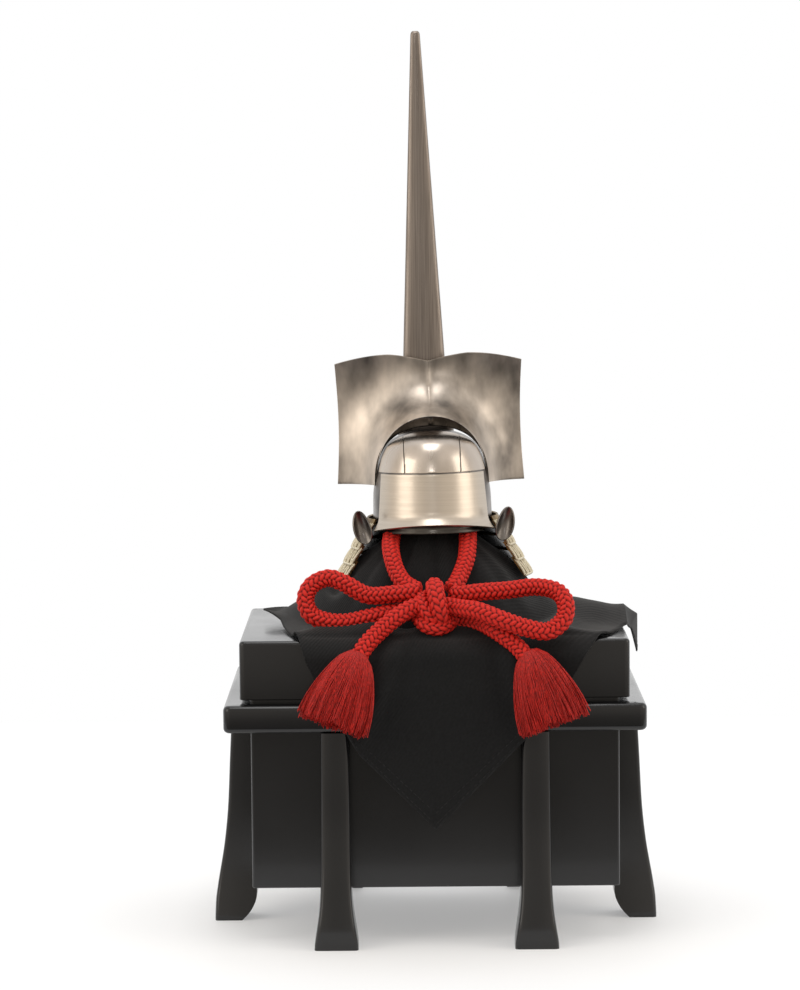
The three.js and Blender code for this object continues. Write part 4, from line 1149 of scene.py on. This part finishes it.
def skirtRise(turn, radius):
    # the cloth stands off the lid where it spreads to both sides
    side = math.exp(-((abs(math.degrees(turn)) - 95) / 36) ** 2)
    at, width, rise = cloth["skirtRight"] if turn > 0 else cloth["skirtLeft"]
    # under the neck guard the rise only starts outside its edge
    under = min(1.0, max(0.0, (abs(math.degrees(turn)) - guard["openAngle"] + 6) / 12))
    beyond = np.clip((radius - guard["bottomHalfWidth"]) / cloth["skirtFree"], 0, 1)
    free = 1 - under + under * beyond * beyond * (3 - 2 * beyond)
    return rise * side * free * np.exp(-((radius - at) / width) ** 2)


def roundFront(turn, forward):
    # how far out and up the cloth stands off the lid's front edge, in a soft round
    over = forward - chest["lidDepth"] / 2
    radius, lift = cloth["frontRound"], cloth["frontLift"]
    reach = radius * math.pi / 4
    if abs(over) <= reach:
        bend = (over / reach + 1) * math.pi / 4
        out = lift - radius + radius * math.sin(bend) - min(over, 0)
        up = lift - radius + radius * math.cos(bend) + max(over, 0)
    else:
        fade = math.exp(-((over - reach) / 26)) if over > 0 else max(0.0, 1 + (over + reach) / 12) ** 2
        start = lift - radius + reach
        out, up = (lift * fade, start * fade) if over > 0 else (start * fade, lift * fade)
    folds = 1 + 0.3 * math.sin(9.5 * turn + 0.6) + 0.2 * math.sin(17 * turn + 2)
    mask = math.exp(-(turn / 0.88) ** 6) * folds
    return out * mask, up * mask


def layOnChest(x, forward, lift):
    # a point that lies on the lid or hangs over its edge
    w, d = chest["lidWidth"] / 2, chest["lidDepth"] / 2
    top = chest["lidTop"] + clearance + lift
    if abs(forward) > d - 1e-6:
        over = abs(forward) - d
        drop = chest["lidTop"] - ledgeTop
        slant = math.hypot(chest["ledgeReach"], drop)
        share = min(over, slant) / slant
        out = d + clearance + lift + (cloth["ledgeClearance"] + chest["ledgeReach"]) * min(1, share * 1.2)
        soft = 2.6 * math.exp(-over / 3.2)
        z = top - share * drop - max(0, over - slant) - 0.15 * soft
        return [x, -math.copysign(out - soft * 0.3, forward), z]
    if abs(x) > w - 1e-6:
        over = abs(x) - w
        fill = max(0.0, min(1.0, (30 - forward) / 34))
        hang = cloth["cornerHang"] * max(0.0, min(1.0, over / cloth["cornerHang"])) * (0.25 + 0.75 * fill)
        return [math.copysign(w + clearance + lift + hang, x), -forward, top - over + 0.75 * hang]
    return [x, -forward, top]


def hemPoints():
    # points along the hem, closer together where they are near the middle or far apart in angle
    corners = np.array([(a * (cloth["rightReach"] if a > 0 else cloth["leftReach"]),
                         f * (cloth["frontReach"] if f > 0 else cloth["backReach"])) for a, f in hemRows])
    loop = np.vstack([corners, corners[:1]])
    angle = np.unwrap(np.arctan2(loop[:, 0], loop[:, 1]))
    steps = np.linalg.norm(np.diff(loop, axis=0), axis=1)
    hem = []
    for i in range(len(corners)):
        share = 0.5 * steps[i] / steps.sum() + 0.5 * abs(angle[i + 1] - angle[i]) / (2 * math.pi)
        parts = max(2, int(round(cloth["columns"] * share)))
        hem += [loop[i] + (loop[i + 1] - loop[i]) * k / parts for k in range(parts)]
    return hem


def bumpAt(turn, centre, reach):
    # 1 at the centre, 0 from the reach on, soft between
    near = max(0.0, 1 - abs(turn - centre) / reach)
    return near * near * (3 - 2 * near)


def makeClothMesh():
    # columns run from the post's top down the tent, over the lid and down its sides to the hem
    hem = hemPoints()
    tent = smoothRows(tentRows, cloth["tentCount"])
    tent[:, 1] = np.maximum(tent[:, 1], 0)
    share = np.linspace(0, 1, len(tent))
    swell = np.sin(np.pi * np.clip((share - 0.35) / 0.65, 0, 1))
    pleat = np.sin(np.pi * np.clip((share - 0.3) / 0.7, 0, 1)) ** 0.8 * (1.25 - 0.6 * share)
    floor = chest["lidTop"] + clearance
    lift = cloth["lift"]
    points, flat = [], []
    for point in hem:
        reach = float(np.hypot(*point))
        across, forward = point / reach
        turn = math.atan2(across, forward)
        front = cloth["frontSpread"] if forward > 0 else cloth["backSpread"]
        spread = 1 / math.hypot(across / cloth["sideSpread"], forward / front)
        coarse, fine = (float(foldAt(rows, np.array([turn]))[0]) for rows in (foldRows, pleatRows))
        radius = tent[:, 1] * spread * (1 + coarse * swell + fine * pleat) + lift * 0.6 * (tent[:, 1] > 0.02)
        z = floor + tent[:, 0] * (postTop + clearance - floor) + lift * 0.8 + skirtRise(turn, radius)
        length = np.concatenate([[0], np.cumsum(np.hypot(np.diff(radius), np.diff(z)))])
        for r, zz, run in zip(radius, z, length):
            points.append((r * across, -r * forward, zz))
            flat.append((run * across, run * forward))
        w, d = chest["lidWidth"] / 2, chest["lidDepth"] / 2
        flatEnd = min(reach, w / max(abs(across), 1e-6), d / max(abs(forward), 1e-6))
        corner = cloth["cornerLift"] * bumpAt(turn, -math.pi / 2 - 0.16, 0.5)
        puff = cloth["rightLift"] * bumpAt(turn, math.pi / 2, 0.42)
        tail = length[-1] - spread
        for k in range(1, cloth["lidCount"] + 1):
            part = k / cloth["lidCount"]
            far = spread + part * (flatEnd - spread)
            p = layOnChest(far * across * (1 - 1e-9), far * forward * (1 - 1e-9), lift)
            ripple = 1.1 * math.sin(math.pi * part) * (0.5 + 0.5 * math.sin(5 * turn + 9 * part))
            out, up = roundFront(turn, far * forward)
            p[1] -= out
            p[2] += corner * part ** 2 + ripple * min(1, (flatEnd - spread) / 25) + puff * part ** 0.7
            p[2] += float(skirtRise(turn, far)) + up
            points.append(tuple(p))
            flat.append(((far + tail) * across, (far + tail) * forward))
        for k in range(1, cloth["fallCount"] + 1):
            far = flatEnd + k / cloth["fallCount"] * (reach - flatEnd)
            p = layOnChest(far * across, far * forward, lift)
            out, up = roundFront(turn, far * forward)
            p[1] -= out
            p[2] += corner + float(skirtRise(turn, flatEnd)) + puff * math.exp(-(far - flatEnd) / 14) + up
            points.append(tuple(hangingFolds(p, far * across, far * forward)))
            flat.append(((far + tail) * across, (far + tail) * forward))
    rows = cloth["tentCount"] + cloth["lidCount"] + cloth["fallCount"]
    return np.array(points), np.array(flat), len(hem), rows


def hangingFolds(p, x, forward):
    over = forward - chest["lidDepth"] / 2
    if over <= 0:
        return p
    fade = min(1.0, (over + 3) / 14) * math.exp(-over / 75)
    bend = 0.0
    for at, lean, depth, width in hangRows:
        bend += depth * math.exp(-((x - at - lean * over) / width) ** 2)
    p[1] -= (bend + 1.7) * fade
    return p


points, flat, columns, rows = makeClothMesh()
faces = gridFaces(columns, rows, closeRows=True)
sheetMesh = bpy.data.meshes.new("display cloth")
sheetMesh.from_pydata((points * mm).tolist(), [], faces)
giveUv(sheetMesh, flat * mm)
work = bmesh.new()
work.from_mesh(sheetMesh)
bmesh.ops.remove_doubles(work, verts=work.verts, dist=1e-5)
bmesh.ops.recalc_face_normals(work, faces=work.faces)
if sum(f.normal.z * f.calc_area() for f in work.faces) < 0:
    bmesh.ops.reverse_faces(work, faces=work.faces)
work.to_mesh(sheetMesh)
work.free()
clothPiece = linkPiece("display cloth", sheetMesh, twillBlack)
addSolidify(clothPiece, cloth["wall"] * mm, 0.0)
finishMesh(clothPiece)

grid = points.reshape(columns, rows, 3)
stitch = {"length": 2.2, "pause": 1.5, "radius": 0.22, "stand": 0.5}


def makeStitches():
    # two rows of short stitches along the hem
    lines = []
    for rowIndex in (rows - 2, rows - 4):
        ring = np.vstack([grid[:, rowIndex], grid[:1, rowIndex]])
        steps = np.linalg.norm(np.diff(ring, axis=0), axis=1)
        total = steps.sum()
        step = stitch["length"] + stitch["pause"]
        along = np.concatenate([[0], np.cumsum(steps)])
        for n in range(int(total / step)):
            want = n * step + np.array([0, 0.5, 1]) * stitch["length"]
            dash = np.stack([np.interp(want, along, ring[:, k]) for k in range(3)], axis=1)
            outward = np.array([dash[1][0], dash[1][1], 0.0])
            outward /= max(np.linalg.norm(outward), 1e-6)
            hanging = dash[1][2] < chest["lidTop"] - 1
            dash += stitch["stand"] * (outward if hanging else np.array([0, 0, 1]))
            lines.append(dash * mm)
    return threadPiece("hem stitches", lines, stitch["radius"] * mm, 4, twillBlack)


hemStitches = makeStitches()
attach(clothPiece, "root")
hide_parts("display_cloth")
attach(hemStitches, "root")


# braided cord, its routes as in the part

cord = {
    "diameter": 11.4, "around": 64, "step": 0.4, "columns": 8, "pitch": 3.6, "slant": 0.55, "relief": 1.9,
    "bumpWide": 0.68, "bumpLong": 0.52, "tightened": 0.87, "endRound": 2.2,
}
# in mm, chosen after the photograph
routes = {
    "chin_cord": [
        (-8, -67.5, 215.5), (-13, -65, 217.5), (-18.5, -60, 220.5), (-22.8, -53, 226.5),
        (-25.6, -44.5, 234.5), (-26.6, -33.5, 241.5), (-25.5, -20.5, 248.5), (-24, -11, 258),
        (-27, -1, 266.5), (-25, 16, 269),
        (-14, 29, 270), (0, 33, 270), (14, 29, 270), (25, 16, 269), (27, -1, 266.5), (24, -11, 258),
        (22.2, -20.5, 248.5), (21.8, -33.5, 241.5), (20.6, -44.5, 233.5), (17, -54, 225), (13.8, -61.5, 219.6),
        (9.5, -66.5, 215.5),
    ],
    "bow_cord_left": [
        (-7, -79, 217.4), (-13, -79.2, 216.4), (-24, -79, 215.6), (-41, -77, 214.8), (-56, -75, 222.4),
        (-65, -74, 225.3), (-75.5, -75, 220.8), (-79.3, -77, 212.5), (-76, -79.5, 203.5), (-67, -81, 199.4),
        (-55, -81.5, 198.4), (-40, -80.5, 201.2), (-27, -78, 203.8), (-13, -76.5, 203.6), (0, -79, 200),
        (12, -82.5, 197.8), (20, -84.5, 198.6), (29, -90, 198), (40, -101.5, 193.4), (51, -107.5, 185),
        (58, -112, 176.5),
    ],
    "bow_cord_right": [
        (9, -78.5, 216), (14.4, -79.5, 215), (28, -82, 216.6), (46, -84, 218), (64, -87, 220),
        (75.8, -93, 217.6), (80.4, -99, 211.2), (79, -104, 202), (69.4, -107.5, 195.2), (57, -108.5, 197),
        (39.2, -109, 203.2), (26.5, -102.5, 207.4), (14.6, -92.5, 208.2), (2, -86.5, 209.5), (-10.5, -89.5, 209),
        (-20.5, -94.5, 204.8), (-33, -99, 195.4), (-42, -105, 186.8), (-47.5, -109.5, 178),
    ],
}
knotRoutes = {
    "front wrap": [
        (0.4, -72, 218), (0.4, -84, 220.6), (1, -93, 217.6), (2.6, -97.5, 210.5), (4.2, -96, 203.5),
        (4.6, -88, 199), (4, -78, 199),
    ],
    "side wrap": [(-6, -78, 214), (-7.5, -88, 211.5), (-5, -94, 206.5), (-1, -95, 201.5), (4, -88, 197.5)],
    "lower wrap": [
        (-9, -80, 204.5), (-8.5, -89, 200.5), (-4.5, -95, 197.4), (3, -96.5, 196.2), (9, -91, 198.5),
        (10, -82, 203),
    ],
}


def framesAlong(line):
    # sideways directions carried along the line without twist
    tangent = np.gradient(line, axis=0)
    tangent /= np.linalg.norm(tangent, axis=1)[:, None]
    first = np.cross(tangent[0], (0, 0, 1) if abs(tangent[0][2]) < 0.9 else (1, 0, 0))
    first /= np.linalg.norm(first)
    across = [first]
    for k in range(1, len(line)):
        a = across[-1] - np.dot(across[-1], tangent[k]) * tangent[k]
        across.append(a / np.linalg.norm(a))
    across = np.array(across)
    return across, np.cross(tangent, across)


def braidHeight(along, place):
    # how far the strands stand out: slanted bumps in columns round the cord, staggered from column to column
    height = 0
    for step in (-1, 0, 1):
        column = np.floor(place + 1e-9) + step
        sign = np.where(column % 2 == 0, 1.0, -1.0)
        du = place - column - 0.5
        s = along / cord["pitch"] - 0.5 * (column % 2) + sign * cord["slant"] * du
        dv = s - np.round(s)
        bump = 1 - (du / cord["bumpWide"]) ** 2 - (dv / cord["bumpLong"]) ** 2
        height = np.maximum(height, np.sqrt(np.clip(bump, 0, 1)))
    return height


def braidTube(name, route, diameter=cord["diameter"]):
    line = centripetal(route)
    total = np.linalg.norm(np.diff(line, axis=0), axis=1).sum()
    rings = max(8, int(round(total / cord["step"])))
    line = resample(line, rings)
    across, up = framesAlong(line)
    around = cord["around"]
    turn = 2 * np.pi * np.arange(around) / around
    along = np.linspace(0, total, rings)[:, None]
    height = braidHeight(along, cord["columns"] * turn / (2 * np.pi))
    ends = np.sqrt(np.clip(np.minimum(along, total - along) / cord["endRound"] + 0.06, 0, 1))
    radius = (diameter / 2 - cord["relief"] + cord["relief"] * height) * ends
    points = line[:, None, :] + radius[..., None] * (
        np.cos(turn)[None, :, None] * across[:, None, :] + np.sin(turn)[None, :, None] * up[:, None, :])
    faces = gridFaces(rings, around, closeColumns=True)
    faces += [tuple(range(around))[::-1], tuple(range((rings - 1) * around, rings * around))]
    mesh = meshFrom(name, points * mm, faces, False)
    # crease runs from 0 in the gaps between the strands to 1 on their tops, for painting the gaps dark as shade
    giveValue(mesh, "crease", np.clip((height.ravel() - 0.3) / 0.5, 0, 1))
    giveUv(mesh, np.stack(np.broadcast_arrays(along * 0.01, turn / (2 * np.pi)), axis=-1).reshape(-1, 2))
    middle = mesh.polygons[len(mesh.polygons) // 2]
    ring = min(rings - 1, (len(mesh.polygons) // 2) // around)
    if middle.normal.dot(middle.center - Vector(line[ring] * mm)) < 0:
        mesh.flip_normals()
    return linkPiece(name, mesh, braidRed), line, total


# tassels

tassel = {
    "length": 47, "skirtWidth": 20.5, "skirtDepth": 12, "threads": 1150, "strays": 3, "radius": 0.3, "rows": 10,
    "taper": 0.85, "coreWidth": 0.86, "coreLength": 0.94,
}
# share of the length, share of the skirt's width
tasselRows = [
    (-0.02, 0.1), (0, 0.24), (0.05, 0.4), (0.14, 0.54), (0.28, 0.69), (0.5, 0.85), (0.75, 0.96), (1, 1),
]
# where the neck is, swing to the side and tilt forward in degrees
tasselPlaces = {
    "tassel_left": ((-46.5, -110.5, 183), 21, 16),
    "tassel_right": ((57.5, -112, 183.5), -20, 11),
}


def tasselPoint(spread, turn, down):
    return Vector((tassel["skirtWidth"] * spread * math.cos(turn), tassel["skirtDepth"] * spread * math.sin(turn),
                   -tassel["length"] * down)) * mm


def makeTassel(name, neck, swing, tilt, seed):
    dice = random.Random(seed)
    place = (Matrix.Translation(Vector(neck) * mm) @ Matrix.Rotation(math.radians(swing), 4, "Y")
             @ Matrix.Rotation(-math.radians(tilt), 4, "X"))
    shape = smoothRows(tasselRows, 60)
    steps = [r / (tassel["rows"] - 1) for r in range(tassel["rows"])]
    lines = []
    for k in range(tassel["threads"]):
        turn = 2 * math.pi * (k + dice.random()) / tassel["threads"]
        depth = 1 - 0.55 * dice.random() ** 2.2
        lock = 0.08 * math.sin(9 * turn + seed) + 0.07 * math.sin(23 * turn + 2 * seed)
        end = 1 + dice.uniform(-0.07, 0.035) + 0.02 * math.sin(5 * turn)
        wave, phase = dice.uniform(0.0, 0.5), dice.uniform(0, 6.28)
        line = []
        for step in steps:
            down = end * step
            spread = float(np.interp(min(down, 1), shape[:, 0], shape[:, 1])) * depth * (1 + lock * down)
            drift = 0.16 * wave * math.sin(4 * down + phase)
            line.append(place @ tasselPoint(max(spread, 0.02), turn + drift, down))
        lines.append(line)
    for k in range(tassel["strays"]):
        turn = dice.uniform(0, 6.28)
        spreads = [float(np.interp(down, shape[:, 0], shape[:, 1])) * (1.0 + 0.13 * down ** 3) for down in steps]
        lines.append([place @ tasselPoint(spread, turn, 0.97 * down) for spread, down in zip(spreads, steps)])
    skirt = threadPiece(f"{name} skirt", lines, tassel["radius"] * mm, 4, threadRed, tassel["taper"])

    wide, deep = (tassel[side] * tassel["coreWidth"] for side in ("skirtWidth", "skirtDepth"))
    rings = [ovalRing(wide * spread, deep * spread, -tassel["length"] * down * tassel["coreLength"], 36)
             for down, spread in smoothRows(tasselRows, 16)]
    core = linkPiece(f"{name} core", ringsSolid(f"{name} core", rings), threadRed)
    core.data.transform(place)
    return joinPieces(f"{name} threads", [skirt, core])


def joinPieces(name, pieces):
    # one piece of several, the first one's data kept
    with bpy.context.temp_override(active_object=pieces[0], object=pieces[0], selected_objects=pieces,
                                   selected_editable_objects=pieces):
        bpy.ops.object.join()
    pieces[0].name = name.replace(" ", "_")
    return pieces[0]


tassels = {}
for seed, (name, (neck, swing, tilt)) in enumerate(tasselPlaces.items(), 3):
    tassels[name] = makeTassel(name.replace("_", " "), neck, swing, tilt, seed)
    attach(tassels[name], "root")
    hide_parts(name)

# the front wrap has the cord's full width, the two behind it are pulled tighter
tightness = {"front wrap": 1, "side wrap": cord["tightened"], "lower wrap": cord["tightened"]}
knot = joinPieces("knot", [braidTube(label, route, cord["diameter"] * tightness[label])[0]
                           for label, route in knotRoutes.items()])
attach(knot, "root")
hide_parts("cord_knot")

# each cord: a braided strand along its route, its length printed
for name, route in routes.items():
    strand, line, total = braidTube(name.replace("_", " "), route)
    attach(strand, "root")
    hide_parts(name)
    print(name, "length", round(total, 1), "mm")
print("cords and tassels made")
